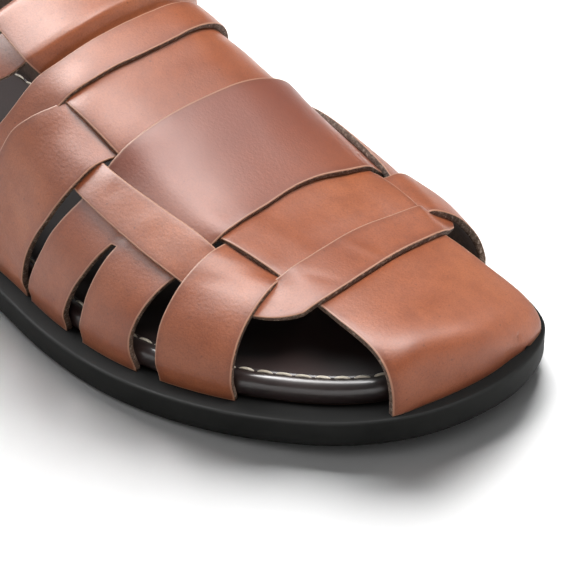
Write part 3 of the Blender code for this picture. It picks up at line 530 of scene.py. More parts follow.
CREASES = (                  # strap, (x, angle) of both ends, depth and half width in mm
    ("vamp", (203.5, 32.5), (205.5, 38.0), -0.22, 1.3),
    ("vamp", (199.0, 60.0), (226.0, 52.0), -0.16, 3.2),
    ("vamp", (203.0, 97.0), (222.0, 88.0), 0.22, 5.0),
    ("vamp", (206.0, 120.0), (226.0, 112.0), -0.20, 4.5),
    ("side", (226.0, 31.0), (243.0, 35.5), -0.20, 1.7),
    ("side", (227.0, 22.0), (242.0, 24.5), 0.14, 2.6),
    ("side", (228.5, 40.0), (240.0, 43.0), 0.16, 1.8),
    ("side", (234.0, 148.0), (250.0, 144.0), -0.18, 2.4),
    ("quarter", (158.0, 33.0), (181.0, 38.0), -0.16, 2.6),
    ("quarter", (150.0, 22.0), (172.0, 26.0), 0.14, 3.2),
    ("quarter", (176.0, 50.0), (190.0, 47.0), 0.18, 2.2),
    ("instep", (168.0, 66.0), (176.0, 70.0), -0.16, 2.2),
    ("instep", (174.0, 84.0), (181.0, 96.0), 0.20, 3.5),
    ("toe", (247.5, 46.0), (257.0, 50.0), -0.16, 1.8),
    ("toe", (247.5, 74.0), (260.0, 80.0), 0.16, 3.0),
    ("lacing", (196.0, 43.0), (199.0, 46.0), -0.14, 1.6),
    ("lacing", (207.0, 38.0), (212.0, 44.0), 0.14, 2.4),
    ("centre", (184.0, 64.0), (189.0, 112.0), -0.22, 2.8),
    ("centre", (233.0, 62.0), (236.0, 120.0), -0.22, 3.2),
    ("centre", (240.0, 70.0), (243.0, 110.0), 0.14, 2.4),
    ("centre", (264.0, 66.0), (268.0, 104.0), -0.18, 4.0),
    ("centre", (272.0, 40.0), (281.0, 66.0), 0.20, 4.5),
)


def creased(name, x, angle):
    """Soft troughs and ridges that wear has pressed into a strap."""
    depth = np.zeros(np.broadcast(x, angle).shape)
    for strap, start, end, deep, half_width in CREASES:
        if strap != name:
            continue
        run_x, run_a = end[0] - start[0], (end[1] - start[1]) * MM_PER_DEGREE
        off_x, off_a = x - start[0], (angle - start[1]) * MM_PER_DEGREE
        part = np.clip((off_x * run_x + off_a * run_a) / (run_x**2 + run_a**2), 0, 1)
        away = np.hypot(off_x - part * run_x, off_a - part * run_a)
        fade = 0.35 + 0.65 * np.sin(math.pi * part)
        depth += deep * fade * np.exp(-(away / half_width) ** 2)
    return depth


def settled(name, x, angle):
    """Height of a strap's flesh side over the last at places of the (x, angle) grid."""
    i = np.clip(np.asarray(x, float) - PLAIT_X[0], 0, len(PLAIT_X) - 1.001)
    j = np.clip(np.asarray(angle, float) - PLAIT_ANGLE[0], 0, len(PLAIT_ANGLE) - 1.001)
    i0, j0 = i.astype(int), j.astype(int)
    u, v = i - i0, j - j0
    h = PLAIT[name]
    level = ((1 - u) * (1 - v) * h[i0, j0] + u * (1 - v) * h[i0 + 1, j0]
             + (1 - u) * v * h[i0, j0 + 1] + u * v * h[i0 + 1, j0 + 1])
    return level + creased(name, x, angle)


# ---------------------------------------------------------------- building nodes in either editor
def add(tree, kind, inputs=(), **settings):
    """A node with its settings, and its inputs set to values or linked to other nodes' outputs."""
    node = tree.nodes.new(kind)
    for name, value in settings.items():
        setattr(node, name, value)
    for key, value in dict(inputs).items():
        socket = node.inputs[key]
        if isinstance(value, bpy.types.NodeSocket):
            tree.links.new(value, socket)
        else:
            socket.default_value = value
    return node


def made(tree, kind, inputs=(), **settings):
    """The first output of a new node."""
    return add(tree, kind, inputs, **settings).outputs[0]


def ramp(tree, factor, *stops):
    """Colour ramp with stops of (place, colour)."""
    node = add(tree, "ShaderNodeValToRGB", {"Fac": factor})
    elements = node.color_ramp.elements
    while len(elements) < len(stops):
        elements.new(0.5)
    for element, (place, colour) in zip(elements, stops):
        element.position = place
        element.color = (*colour, 1.0)
    return node.outputs["Color"]


def noise(tree, where, scale, detail=4.0, rough=0.55, distortion=0.0):
    return made(tree, "ShaderNodeTexNoise", {"Vector": where, "Scale": scale, "Detail": detail,
                                             "Roughness": rough, "Distortion": distortion})


def cells(tree, where, scale, feature):
    return made(tree, "ShaderNodeTexVoronoi", {"Vector": where, "Scale": scale}, feature=feature)


def stretched(tree, where, *scale):
    return made(tree, "ShaderNodeMapping", {"Vector": where, "Scale": scale})


def part_of(tree, vector, axis):
    return add(tree, "ShaderNodeSeparateXYZ", {0: vector}).outputs[axis]


def mixed(tree, factor, tone, colour):
    """The tone, with a constant colour laid over it as far as factor says."""
    node = add(tree, "ShaderNodeMix", data_type="RGBA")
    inputs = {s.identifier: s for s in node.inputs}
    tree.links.new(factor, inputs["Factor_Float"])
    tree.links.new(tone, inputs["A_Color"])
    inputs["B_Color"].default_value = (*colour, 1.0)
    return next(s for s in node.outputs if s.identifier == "Result_Color")


def sums(tree, operation, a, b=0.0, c=0.0):
    return made(tree, "ShaderNodeMath", {0: a, 1: b, 2: c}, operation=operation)


def between(tree, value, low, high, to_low=0.0, to_high=1.0):
    return made(tree, "ShaderNodeMapRange", {"Value": value, "From Min": low, "From Max": high,
                                             "To Min": to_low, "To Max": to_high})


def finish_of(name, **sockets):
    """New material, its nodes and Object coordinates; sockets are constants on its shader."""
    mat = bpy.data.materials.new(name)
    mat.use_nodes = True
    tree = mat.node_tree
    for key, value in sockets.items():
        tree.nodes["Principled BSDF"].inputs[key.replace("_", " ")].default_value = value
    return mat, tree, add(tree, "ShaderNodeTexCoord").outputs["Object"]


def dress(tree, tone, roughness, *layers):
    """Links colour, roughness and bump layers of (height, strength, mm), the finest last."""
    shader = tree.nodes["Principled BSDF"]
    tree.links.new(tone, shader.inputs["Base Color"])
    if roughness is not None:
        tree.links.new(roughness, shader.inputs["Roughness"])
    normal = None
    for height, strength, depth in layers:
        inputs = {"Height": height, "Strength": strength, "Distance": depth * MM}
        if normal is not None:
            inputs["Normal"] = normal
        normal = made(tree, "ShaderNodeBump", inputs)
    if normal is not None:
        tree.links.new(normal, shader.inputs["Normal"])


# ---------------------------------------------------------------- finishes
MOTTLE = (0.150, 0.034, 0.012)
SPECKLE = (0.120, 0.028, 0.011)
FLECK = (0.070, 0.019, 0.009)
RUBBED = (0.125, 0.029, 0.011)
PAINTED_ARRIS_HIGHLIGHT = (0.460, 0.240, 0.150)


def tan_leather_finish(name, deep, middle, light, polish, crown=None):
    """Vegetable-tanned calf, waxed: cloudy tan, fine pores, creases; crown darkens its top; a thin pale
    painted highlight along the arris.
    """
    mat, tree, where = finish_of(name, Coat_Weight=polish, Coat_Roughness=0.40,
                                 Specular_IOR_Level=0.38)
    strap = add(tree, "ShaderNodeAttribute", attribute_name="strap_place").outputs["Vector"]
    from_edge = part_of(tree, strap, "Z")
    cloud = noise(tree, where, 26.0, 3.0, 0.5)
    tone = ramp(tree, cloud, (0.32, deep), (0.50, middle), (0.70, light))
    mottle = noise(tree, where, 190.0, 5.0, 0.62)
    tone = mixed(tree, between(tree, mottle, 0.40, 0.72, 0.0, 0.34), tone, MOTTLE)
    speckle = noise(tree, where, 2200.0, 3.0, 0.65)
    tone = mixed(tree, between(tree, speckle, 0.44, 0.70, 0.0, 0.46), tone, SPECKLE)
    fleck = cells(tree, where, 210.0, "F1")
    tone = mixed(tree, between(tree, fleck, 0.045, 0.085, 0.45, 0.0), tone, FLECK)
    if crown:
        level = sums(tree, "MULTIPLY_ADD", cloud, 0.014, part_of(tree, where, "Z"))
        tone = mixed(tree, between(tree, level, 0.041, 0.060, 0.0, 0.62), tone, crown)
    tone = mixed(tree, between(tree, from_edge, 0.3, 2.6, 0.40, 0.0), tone, RUBBED)
    # painted highlight: a pale peach line on the grain next to the cut edge, where the rounded arris
    # would catch the light
    tone = mixed(tree, between(tree, from_edge, 0.04, 0.32, 0.62, 0.0), tone, PAINTED_ARRIS_HIGHLIGHT)
    gloss = between(tree, noise(tree, where, 60.0, 4.0, 0.6), 0.3, 0.7, 0.44, 0.58)
    gloss = sums(tree, "ADD", gloss, between(tree, from_edge, 0.0, 0.6, 0.22, 0.0))
    hair = noise(tree, stretched(tree, strap, 0.55, 0.12, 0.0), 1.0, 5.0, 0.65, 0.6)
    crease = sums(tree, "ABSOLUTE", sums(tree, "SUBTRACT", hair, 0.5))
    dress(tree, tone, gloss, (noise(tree, where, 42.0, 2.0, 0.5), 0.30, 0.9),
          (between(tree, crease, 0.0, 0.035), 0.16, 0.05),
          (cells(tree, where, 1150.0, "SMOOTH_F1"), 0.50, 0.10),
          (noise(tree, where, 2300.0, 3.0, 0.6), 0.50, 0.08))
    return mat


def raw_edge_finish():
    """Cut edge of the strap: compressed brown fibres with cream specks."""
    mat, tree, where = finish_of("raw_cut_edge", Specular_IOR_Level=0.3)
    fibre = noise(tree, where, 1250.0, 5.0, 0.72, 0.4)
    tone = ramp(tree, fibre, (0.30, (0.035, 0.018, 0.012)), (0.47, (0.105, 0.060, 0.040)),
                (0.58, (0.190, 0.125, 0.090)), (0.68, (0.520, 0.420, 0.330)))
    long_fibre = noise(tree, where, 260.0, 3.0, 0.5)
    tone = mixed(tree, between(tree, long_fibre, 0.40, 0.68, 0.0, 0.55), tone,
                 (0.055, 0.030, 0.020))
    dress(tree, tone, between(tree, fibre, 0.3, 0.7, 0.90, 0.62), (long_fibre, 0.5, 0.25),
          (fibre, 0.7, 0.18))
    return mat


def flesh_side_finish():
    """Back of the strap: grey-brown nap."""
    mat, tree, where = finish_of("flesh_side", Sheen_Weight=0.25, Sheen_Roughness=0.5,
                                 Specular_IOR_Level=0.2)
    nap = noise(tree, where, 1100.0, 5.0, 0.7)
    patch = noise(tree, where, 70.0, 3.0, 0.5)
    tone = ramp(tree, nap, (0.3, (0.085, 0.045, 0.030)), (0.7, (0.200, 0.125, 0.088)))
    tone = mixed(tree, between(tree, patch, 0.35, 0.65, 0.0, 0.45), tone, (0.100, 0.055, 0.038))
    dress(tree, tone, between(tree, patch, 0.3, 0.7, 0.80, 0.92), (nap, 0.6, 0.12))
    return mat


def footbed_finish(name, rough, gloss):
    """Nearly black brown leather; polished on the rolled edge, dull where the foot stands."""
    mat, tree, where = finish_of(name, Coat_Weight=gloss, Coat_Roughness=0.20,
                                 Specular_IOR_Level=0.25 + 0.4 * gloss)
    cloud = noise(tree, where, 45.0, 4.0, 0.55)
    tone = ramp(tree, cloud, (0.3, (0.0120, 0.0060, 0.0055)), (0.7, (0.0260, 0.0130, 0.0115)))
    dress(tree, tone, between(tree, cloud, 0.3, 0.7, rough, rough + 0.12),
          (noise(tree, where, 120.0, 2.0, 0.5), 0.25, 0.5),
          (cells(tree, where, 1150.0, "SMOOTH_F1"), 0.18, 0.05))
    return mat


def sole_rubber_finish():
    """Matt black rubber with a fine bloom; painted blacker where it faces up, as painted shade on the
    top ledge.
    """
    mat, tree, where = finish_of("black_sole_rubber", Specular_IOR_Level=0.12)
    bloom = noise(tree, where, 90.0, 5.0, 0.6)
    tone = ramp(tree, bloom, (0.3, (0.0110, 0.0112, 0.0106)), (0.7, (0.0210, 0.0212, 0.0200)))
    # painted shade: the colour darkens where the surface faces up, against the light that falls on the
    # sole's top ledge
    up = part_of(tree, add(tree, "ShaderNodeNewGeometry").outputs["Normal"], "Z")
    tone = mixed(tree, between(tree, up, 0.5, 0.9, 0.0, 0.85), tone, (0.0030, 0.0030, 0.0028))
    dress(tree, tone, between(tree, bloom, 0.3, 0.7, 0.55, 0.72),
          (noise(tree, stretched(tree, where, 1.0, 1.0, 9.0), 160.0, 3.0, 0.5), 0.12, 0.08),
          (noise(tree, where, 1700.0, 3.0, 0.6), 0.25, 0.05))
    return mat


def seam_layer_finish():
    """Pressed board, in thin level layers."""
    mat, tree, where = finish_of("dark_seam_board", Specular_IOR_Level=0.2)
    layers = noise(tree, stretched(tree, where, 1.0, 1.0, 14.0), 130.0, 4.0, 0.6)
    tone = ramp(tree, layers, (0.35, (0.012, 0.008, 0.007)), (0.65, (0.060, 0.040, 0.030)))
    dress(tree, tone, between(tree, layers, 0.3, 0.7, 0.70, 0.90), (layers, 0.5, 0.15))
    return mat


def thread_finish(name, pale, dull):
    """Waxed two-ply thread, a little soiled."""
    mat, tree, where = finish_of(name, Sheen_Weight=0.15, Specular_IOR_Level=0.3)
    soiled = noise(tree, where, 300.0, 4.0, 0.6)
    twist = add(tree, "ShaderNodeTexWave", {"Vector": where, "Scale": 420.0, "Distortion": 1.5},
                bands_direction="DIAGONAL").outputs["Fac"]
    dress(tree, ramp(tree, soiled, (0.3, dull), (0.65, pale)),
          between(tree, soiled, 0.3, 0.7, 0.72, 0.58), (twist, 0.35, 0.12),
          (noise(tree, where, 3800.0, 3.0, 0.6), 0.3, 0.05))
    return mat


def brass_finish():
    """Old brass, brushed along, with patchy tarnish."""
    mat, tree, where = finish_of("old_brass", Metallic=1.0)
    tarnish = noise(tree, where, 420.0, 5.0, 0.65)
    tone = ramp(tree, tarnish, (0.32, (0.20, 0.13, 0.055)), (0.55, (0.50, 0.37, 0.18)),
                (0.75, (0.66, 0.52, 0.29)))
    brushed = noise(tree, stretched(tree, where, 1.0, 6.0, 6.0), 900.0, 2.0, 0.5)
    dress(tree, tone, between(tree, tarnish, 0.3, 0.7, 0.46, 0.26), (brushed, 0.12, 0.04))
    return mat


TAN_LEATHER = tan_leather_finish("tan_calf_leather", (0.250, 0.060, 0.019),
                                 (0.315, 0.084, 0.029), (0.365, 0.107, 0.039), 0.40)
RED_LEATHER = tan_leather_finish("red_brown_calf_leather", (0.225, 0.052, 0.018),
                                 (0.290, 0.074, 0.026), (0.340, 0.096, 0.035), 0.50,
                                 crown=(0.160, 0.036, 0.019))
RAW_EDGE = raw_edge_finish()
FLESH_SIDE = flesh_side_finish()
FOOTBED_FACE = footbed_finish("dull_footbed_leather", 0.72, 0.0)
FOOTBED_ROLL = footbed_finish("polished_footbed_edge", 0.32, 0.8)
SOLE_RUBBER = sole_rubber_finish()
SEAM_LAYER = seam_layer_finish()
CREAM_THREAD = thread_finish("cream_waxed_thread", (0.66, 0.60, 0.50), (0.42, 0.36, 0.28))
TAN_THREAD = thread_finish("tan_waxed_thread", (0.30, 0.13, 0.06), (0.16, 0.06, 0.03))
OLD_BRASS = brass_finish()


# ---------------------------------------------------------------- leather pieces
EDGE_SECTION = (             # grain corner to flesh corner: mm out from the cut line, mm down
    (-0.36, 0.00), (-0.20, 0.03), (-0.09, 0.10), (-0.02, 0.21), (0.00, 0.34),
    (0.05, 0.75), (0.06, 1.20), (0.02, 1.65), (-0.06, 1.90), (-0.22, 2.10), (-0.40, 2.20),
)
ARRIS_ROWS = 3               # rows of that section that keep the grain's finish


def shown(name, data):
    """New object in the scene."""
    obj = bpy.data.objects.new(name, data)
    SCENE.collection.objects.link(obj)
    return obj


def place_in_scene(mesh_object, slot_name, *nodes):
    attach(mesh_object, "root")
    if nodes:
        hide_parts(*nodes)
    return mesh_object


def mesh_piece(name, verts, faces, materials, face_materials=None):
    mesh = bpy.data.meshes.new(name)
    mesh.from_pydata([tuple(v) for v in to_metres(verts)], [], faces)
    for mat in materials:
        mesh.materials.append(mat)
    if face_materials is not None:
        mesh.polygons.foreach_set("material_index", np.asarray(face_materials, np.int32))
    mesh.shade_smooth()
    return shown(name, mesh)


def grid_lengths(grid):
    """Distances along the rows and across the columns of a grid, in mm."""
    along = np.linalg.norm(np.diff(grid, axis=0), axis=2).mean(1)
    across = np.linalg.norm(np.diff(grid, axis=1), axis=2).mean(0)
    return np.concatenate([[0], np.cumsum(along)]), np.concatenate([[0], np.cumsum(across)])


def leather_piece(name, flesh, normals, thickness=LEATHER, keep=None, materials=None):
    """Cut leather over a grid of flesh-side points: grain face, rounded cut edge and flesh face."""
    rows, cols = flesh.shape[:2]
    keep = np.ones((rows - 1, cols - 1), bool) if keep is None else keep
    grain = flesh + normals * thickness
    flat_grain, flat_normal = grain.reshape(-1, 3), normals.reshape(-1, 3)
    cells = np.array([(i * cols + j, i * cols + j + 1, (i + 1) * cols + j + 1, (i + 1) * cols + j)
                      for i, j in zip(*np.nonzero(keep))])
    corner = flat_grain[cells]
    facing = np.cross(corner[:, 1] - corner[:, 0], corner[:, 3] - corner[:, 0])
    if np.sum(facing * flat_normal[cells[:, 0]]) < 0:
        cells = cells[:, ::-1]
    directed = {(a, b) for cell in cells for a, b in zip(cell, np.roll(cell, -1))}
    onward = {a: b for a, b in directed if (b, a) not in directed}
    backward = {b: a for a, b in onward.items()}
    rim = sorted(onward)
    after = flat_grain[[onward[v] for v in rim]]
    before = flat_grain[[backward[v] for v in rim]]
    out = np.cross(after - before, flat_normal[rim])
    out /= np.linalg.norm(out, axis=1)[:, None]

    used = np.unique(cells)
    number = {v: n for n, v in enumerate(used)}
    rim_number = {v: n for n, v in enumerate(rim)}
    scale = thickness / EDGE_SECTION[-1][1]
    reach = min(scale, 1.0)
    grain_verts = flat_grain[used].copy()
    flesh_verts = (flat_grain - flat_normal * thickness)[used].copy()
    rim_used = [number[v] for v in rim]
    grain_verts[rim_used] = flat_grain[rim] + out * EDGE_SECTION[0][0] * reach
    flesh_verts[rim_used] += out * EDGE_SECTION[-1][0] * reach
    rings = [flat_grain[rim] + out * a * reach - flat_normal[rim] * b * scale
             for a, b in EDGE_SECTION[1:-1]]
    verts = np.vstack([grain_verts, flesh_verts] + rings)
    n, first_ring = len(used), 2 * len(used)

    def ring_vertex(v, k):
        if k == 0:
            return number[v]
        if k == len(EDGE_SECTION) - 1:
            return n + number[v]
        return first_ring + (k - 1) * len(rim) + rim_number[v]

    faces = [[number[v] for v in cell] for cell in cells]
    finishes = [0] * len(faces)
    faces += [[n + number[v] for v in cell[::-1]] for cell in cells]
    finishes += [2] * len(cells)
    for k in range(len(EDGE_SECTION) - 1):
        for a, b in onward.items():
            faces.append([ring_vertex(b, k), ring_vertex(a, k),
                          ring_vertex(a, k + 1), ring_vertex(b, k + 1)])
            finishes.append(0 if k < ARRIS_ROWS else 1)
    obj = mesh_piece(name, verts, faces, materials or (TAN_LEATHER, RAW_EDGE, FLESH_SIDE), finishes)

    along, across = grid_lengths(grain)
    place = np.stack([np.repeat(along, cols), np.tile(across, rows), np.zeros(rows * cols)], 1)
    edge_tree = KDTree(len(rim))
    for i, v in enumerate(rim):
        edge_tree.insert(flat_grain[v], i)
    edge_tree.balance()
    place[used, 2] = [edge_tree.find(flat_grain[v])[2] for v in used]
    layers = [place[used], place[used]] + [place[rim]] * len(rings)
    attribute = obj.data.attributes.new("strap_place", "FLOAT_VECTOR", "POINT")
    attribute.data.foreach_set("vector", np.vstack(layers).astype(np.float32).ravel())
    return obj


FOOT_TUCK = 1.5              # how far a strap's foot turns in over its last few degrees
FOOT_TUCK_ANGLE = 8.0


def strap_on_last(name, strap, base, angle, x, keep=None):
    """One strap of the plait, lying at its settled height over the last."""
    grain = RED_LEATHER if strap == "vamp" else TAN_LEATHER
    normals = outward(base)
    height = settled(strap, x, angle)
    tuck = FOOT_TUCK * smooth(1 - np.minimum(angle, 180 - angle) / FOOT_TUCK_ANGLE)
    obj = leather_piece(name, base + normals * (height - tuck)[..., None], normals, keep=keep,
                        materials=(grain, RAW_EDGE, FLESH_SIDE))
    return place_in_scene(obj, "strap_leather", "upper")


def cross_strap(name, strap, table, angles, edges, columns, keep=None, corner=0.0):
    """Strap over the last between two angles; corner rounds the front corners of its ends."""
    place = np.concatenate([k + np.arange(n) / n for k, n in enumerate(columns)]
                           + [[len(columns)]])
    rounding = corner * (place / len(columns)) ** 5
    share = (angles - angles[0]) / (angles[-1] - angles[0])
    angle = angles[0] + rounding + share[:, None] * (angles[-1] - angles[0] - 2 * rounding)
    lines = np.stack([edge_at(strap, table, edge, angle) for edge in edges])
    first = np.minimum(place.astype(int), len(columns) - 1)
    behind, ahead = (lines[first + k, :, np.arange(len(place))].T for k in (0, 1))
    x = behind + (place - first) * (ahead - behind)
    return strap_on_last(name, strap, skin(x, angle), angle, x, keep)


def make_vamp_strap():
    angles = np.linspace(0, 180, 181)
    leg = 17
    keep = np.ones((180, 2 * leg + 1), bool)
    beside_slit = (angles[1:] <= SLIT_TOP) | (angles[:-1] >= 180 - SLIT_TOP)
    keep[beside_slit, leg] = False
    cross_strap("vamp_strap", "vamp", VAMP_STRAP, angles,
                ("rear", "slit_rear", "slit_front", "front"), (leg, 1, leg), keep)


def make_cross_straps():
    make_vamp_strap()
    cross_strap("toe_strap", "toe", TOE_STRAP, np.linspace(27.5, 152.5, 126), ("rear", "front"),
                (20,), corner=TOE_STRAP_CORNER)
    cross_strap("instep_strap", "instep", INSTEP_STRAP, np.linspace(0, 180, 191),
                ("rear", "front"), (20,))
    for side, turned in (("lateral", False), ("medial", True)):
        side_angles, quarter_angles = np.linspace(0, 60, 61), np.linspace(0, 68, 75)
        if turned:
            side_angles, quarter_angles = 180 - side_angles, 180 - quarter_angles
        cross_strap("side_strap_" + side, "side", SIDE_STRAP, side_angles, ("rear", "front"), (24,))
        cross_strap("quarter_strap_" + side, "quarter", QUARTER_STRAP, quarter_angles,
                    ("rear", "front"), (30,))


def make_lacing_straps():
    xs = np.linspace(LACING_STRAP["x"][0], LACING_STRAP["x"][-1], 70)
    lower, upper = column(LACING_STRAP, "lower", xs), column(LACING_STRAP, "upper", xs)
    angle = lower[:, None] + (upper - lower)[:, None] * np.linspace(0, 1, 13)
    x = np.repeat(xs[:, None], 13, 1)
    strap_on_last("lacing_strap_lateral", "lacing", skin(x, angle), angle, x)
    x = x + MEDIAL_FORWARD * (90 - angle)
    strap_on_last("lacing_strap_medial", "lacing", skin(x, 180 - angle), 180 - angle, x)


def strip_across(x, across):
    """y at a share of the centre strip's width."""
    lateral, medial = strip_edges(x)
    return lateral + across * (medial - lateral)


def make_centre_strip():
    """Toe panel and centre strip in one, with its back end folded round the ankle strap."""
    across = np.linspace(0, 1, 61)
    off_middle = np.abs(2 * across - 1)
    over_level = 2 * LOOP_RADIUS
    y_end = strip_across(LOOP_END, across)
    fold_x = LOOP_END - LOOP_END_SWEEP * off_middle**2 + LOOP_RADIUS + LEATHER / 2
    rows, normals = [], []

    def lay(base, level, turned=None):
        """A row at a level over the last; turned rows have normals of their own."""
        out = outward(base)
        rows.append(base + out * np.reshape(level, (-1, 1)))
        normals.append(out if turned is None else turned)

    # turned-under flap and fold: middle points first, then the flesh side half a leather inside
    for step in np.linspace(1.0, 0.12, 8):
        base = skin_over(fold_x + LOOP_FLAP * step, y_end)
        out = outward(base)
        rows.append(base + out * LEATHER)
        normals.append(-out)
    for turn in np.radians(np.linspace(0, 180, 19)):
        base = skin_over(fold_x - LOOP_RADIUS * math.sin(turn), y_end)
        out = outward(base)
        back = np.array([-1.0, 0.0, 0.0]) + out * out[:, :1]
        back /= np.linalg.norm(back, axis=1)[:, None]
        facing = back * math.sin(turn) - out * math.cos(turn)
        level = LEATHER / 2 + LOOP_RADIUS * (1 - math.cos(turn))
        rows.append(base + out * level - facing * LEATHER / 2)
        normals.append(facing)
    from_top = (90 - LOOP_EDGE_ANGLE) * (2 * across - 1)
    behind_strap = (column(INSTEP_STRAP, "rear", 90 - np.abs(from_top), "angle")
                    + MEDIAL_FORWARD * np.maximum(from_top, 0) - LOOP_CLEAR)
    ramp_start = behind_strap - LOOP_RAMP
    for part in np.linspace(0, 1, 9)[1:]:
        y = y_end + (strip_across(ramp_start, across) - y_end) * part
        lay(skin_over(fold_x + (ramp_start - fold_x) * part, y), over_level)
    for part in np.linspace(0, 1, 9)[1:]:
        x = ramp_start + LOOP_RAMP * part
        base = skin_over(x, strip_across(x, across))
        rest = settled("centre", x, round_section(base))
        lay(base, over_level + (rest - over_level) * smooth(part))
    for part in np.linspace(0, 1, 96)[1:]:
        x = behind_strap + (TOE_FAN_X - behind_strap) * part
        base = skin_over(x, strip_across(x, across))
        lay(base, settled("centre", x, round_section(base)))
    # toe panel: rays fan forward and down over the toe, then drop to the sole
    bearing = np.radians(TOE_FAN_LATERAL + across * (TOE_FAN_MEDIAL - TOE_FAN_LATERAL))
    forward = np.stack([np.cos(bearing), np.sin(bearing), np.zeros(len(across))], 1)
    origin = np.stack([np.full(len(across), TOE_FAN_X), strip_across(TOE_FAN_X, across),
                       np.full(len(across), TOE_FAN_HEIGHT)], 1)

    flat_edge = np.clip(across, PANEL_FLAT_SHARE, 1 - PANEL_FLAT_SHARE)

    def lay_toe(base):
        """A row of the toe panel, whose edges lie flatter than the last under them."""
        lifted = smooth((PANEL_SETTLED_X - base[:, 0]) / PANEL_EASE)
        rest = settled("centre", base[:, 0], round_section(base)) * lifted
        out = outward(base)
        flatter = np.stack([np.interp(flat_edge, across, out[:, k]) for k in range(3)], 1)
        share = smooth((base[:, 0] - TOE_FAN_X) / PANEL_EASE)[:, None]
        turned = out + share * (flatter - out)
        turned /= np.linalg.norm(turned, axis=1)[:, None]
        rows.append(base + out * (rest + LEATHER)[:, None] - turned * LEATHER)
        normals.append(turned)

    for tilt in np.radians(TOE_FAN_TILTS):
        lay_toe(hit(origin, forward * math.cos(tilt) + np.array([0, 0, math.sin(tilt)])))
    for height in np.linspace(TOE_FAN_HEIGHT, 0.1, 9)[1:]:
        origin[:, 2] = height
        lay_toe(hit(origin, forward))
    obj = leather_piece("centre_strip", np.array(rows), np.array(normals))
    place_in_scene(obj, "strap_leather", "upper")


# ---------------------------------------------------------------- sole and footbed
STATIONS = 130


def sole_ring(inset, height, table=None):
    """Closed ring at an inset and a height over the sole's lower face."""
    lateral, medial = outline_halves(inset, table)
    heel, toe = lateral[0, 0], lateral[-1, 0]
    x = heel + (toe - heel) * (1 - np.cos(np.linspace(0, math.pi, STATIONS))) / 2
    y_lateral, y_medial = (np.interp(x, half[:, 0], half[:, 1]) for half in (lateral, medial))
    ring = np.vstack([np.column_stack([x, y_lateral]), np.column_stack([x, y_medial])[-2:0:-1]])
    return np.column_stack([ring, sole_under(ring[:, 0]) + height])


def heel_ring(inset, height):
    """Closed ring round the heel, cut straight across at its front."""
    lateral, medial = outline_halves(inset)
    heel = lateral[0, 0]
    front = HEEL_BREAST - HEEL_FRONT_BACK + HEEL_FRONT_SLOPE * height - max(inset - 0.4, 0)
    x = heel + (front - heel) * (1 - np.cos(np.linspace(0, math.pi / 2, 48)))
    y_lateral, y_medial = (np.interp(x, half[:, 0], half[:, 1]) for half in (lateral, medial))
    ring = np.vstack([np.column_stack([x, y_lateral]), np.column_stack([x, y_medial])[:0:-1]])
    return np.column_stack([ring, np.full(len(ring), height)])


def loft(rings):
    """Rings joined by quads and closed by faces straight across, each from heel end to front."""
    n = len(rings[0])
    across = [list(dict.fromkeys((i, i + 1, n - i - 1, (n - i) % n))) for i in range(n // 2)]
    faces = [face[::-1] for face in across]
    for k in range(len(rings) - 1):
        for i in range(n):
            j = (i + 1) % n
            faces.append([k * n + i, k * n + j, (k + 1) * n + j, (k + 1) * n + i])
    top = (len(rings) - 1) * n
    faces += [[top + i for i in face] for face in across]
    return np.concatenate(rings), faces


def lofted_piece(name, rings, materials, slot_name, nodes, finish_by_row=None):
    verts, faces = loft(rings)
    obj = mesh_piece(name, verts, faces, materials)
    bm = bmesh.new()
    bm.from_mesh(obj.data)
    bmesh.ops.recalc_face_normals(bm, faces=bm.faces)
    bm.to_mesh(obj.data)
    bm.free()
    obj.data.shade_smooth()
    obj.data.set_sharp_from_angle(angle=math.radians(50))
    if finish_by_row is not None:
        n = len(rings[0])
        index = np.zeros(len(faces), np.int32)
        first = n // 2
        for k, finish in enumerate(finish_by_row):
            index[first + k * n:first + (k + 1) * n] = finish
        obj.data.polygons.foreach_set("material_index", index)
    return place_in_scene(obj, slot_name, *nodes)


OUTSOLE_LOWER_ROUND = 1.3
OUTSOLE_UPPER_ROUND = 0.9
HEEL_ROUND = 0.9
HEEL_CLEARANCE = 0.02        # between the heel's top and the outsole


def make_outsole():
    lower, upper = OUTSOLE_LOWER_ROUND, OUTSOLE_UPPER_ROUND
    thick = SOLE_THICKNESS
    rings = [sole_ring(lower - lower * math.sin(a), lower - lower * math.cos(a))
             for a in np.linspace(0, math.pi / 2, 6)]
    rings += [sole_ring(0.0, z) for z in (2.6, 4.2, 5.8)]
    rings += [sole_ring(upper - upper * math.cos(a), thick - upper + upper * math.sin(a))
              for a in np.linspace(0, math.pi / 2, 6)]
    rings += [sole_ring(inset, thick) for inset in (2.5, 6.0, 12.0)]
    lofted_piece("outsole_rubber", rings, (SOLE_RUBBER,), "sole_rubber", ("outsole",))


def make_heel():
    r = HEEL_ROUND
    top = HEEL_HEIGHT - HEEL_CLEARANCE
    rings = [heel_ring(1.6 - r * math.sin(a), r - r * math.cos(a))
             for a in np.linspace(0, math.pi / 2, 5)]
    rings += [heel_ring(0.7 - 0.3 * t, r + (top - r) * t) for t in (0.3, 0.6, 0.85, 1.0)]
    lofted_piece("heel_block", rings, (SOLE_RUBBER,), "sole_rubber", ("heel",))


FOOTBED_EDGE_ROUND = 3.0
STITCH_INSET = 3.0           # stitch line of the footbed, from its edge
STITCH_GROOVE = 0.28


def footbed_height(inset):
    """Height of the footbed's face over its underside, at an inset from its edge."""
    thick, r = FOOTBED_THICKNESS, FOOTBED_EDGE_ROUND
    roll = thick - 0.2 - r + r * np.sqrt(np.clip(1 - (1 - np.clip(inset / r, 0, 1)) ** 2, 0, 1))
    crown = 0.2 * smooth((inset - r) / 3.0)
    groove = STITCH_GROOVE * np.exp(-((inset - STITCH_INSET) / 0.55) ** 2)
    return roll + crown - groove


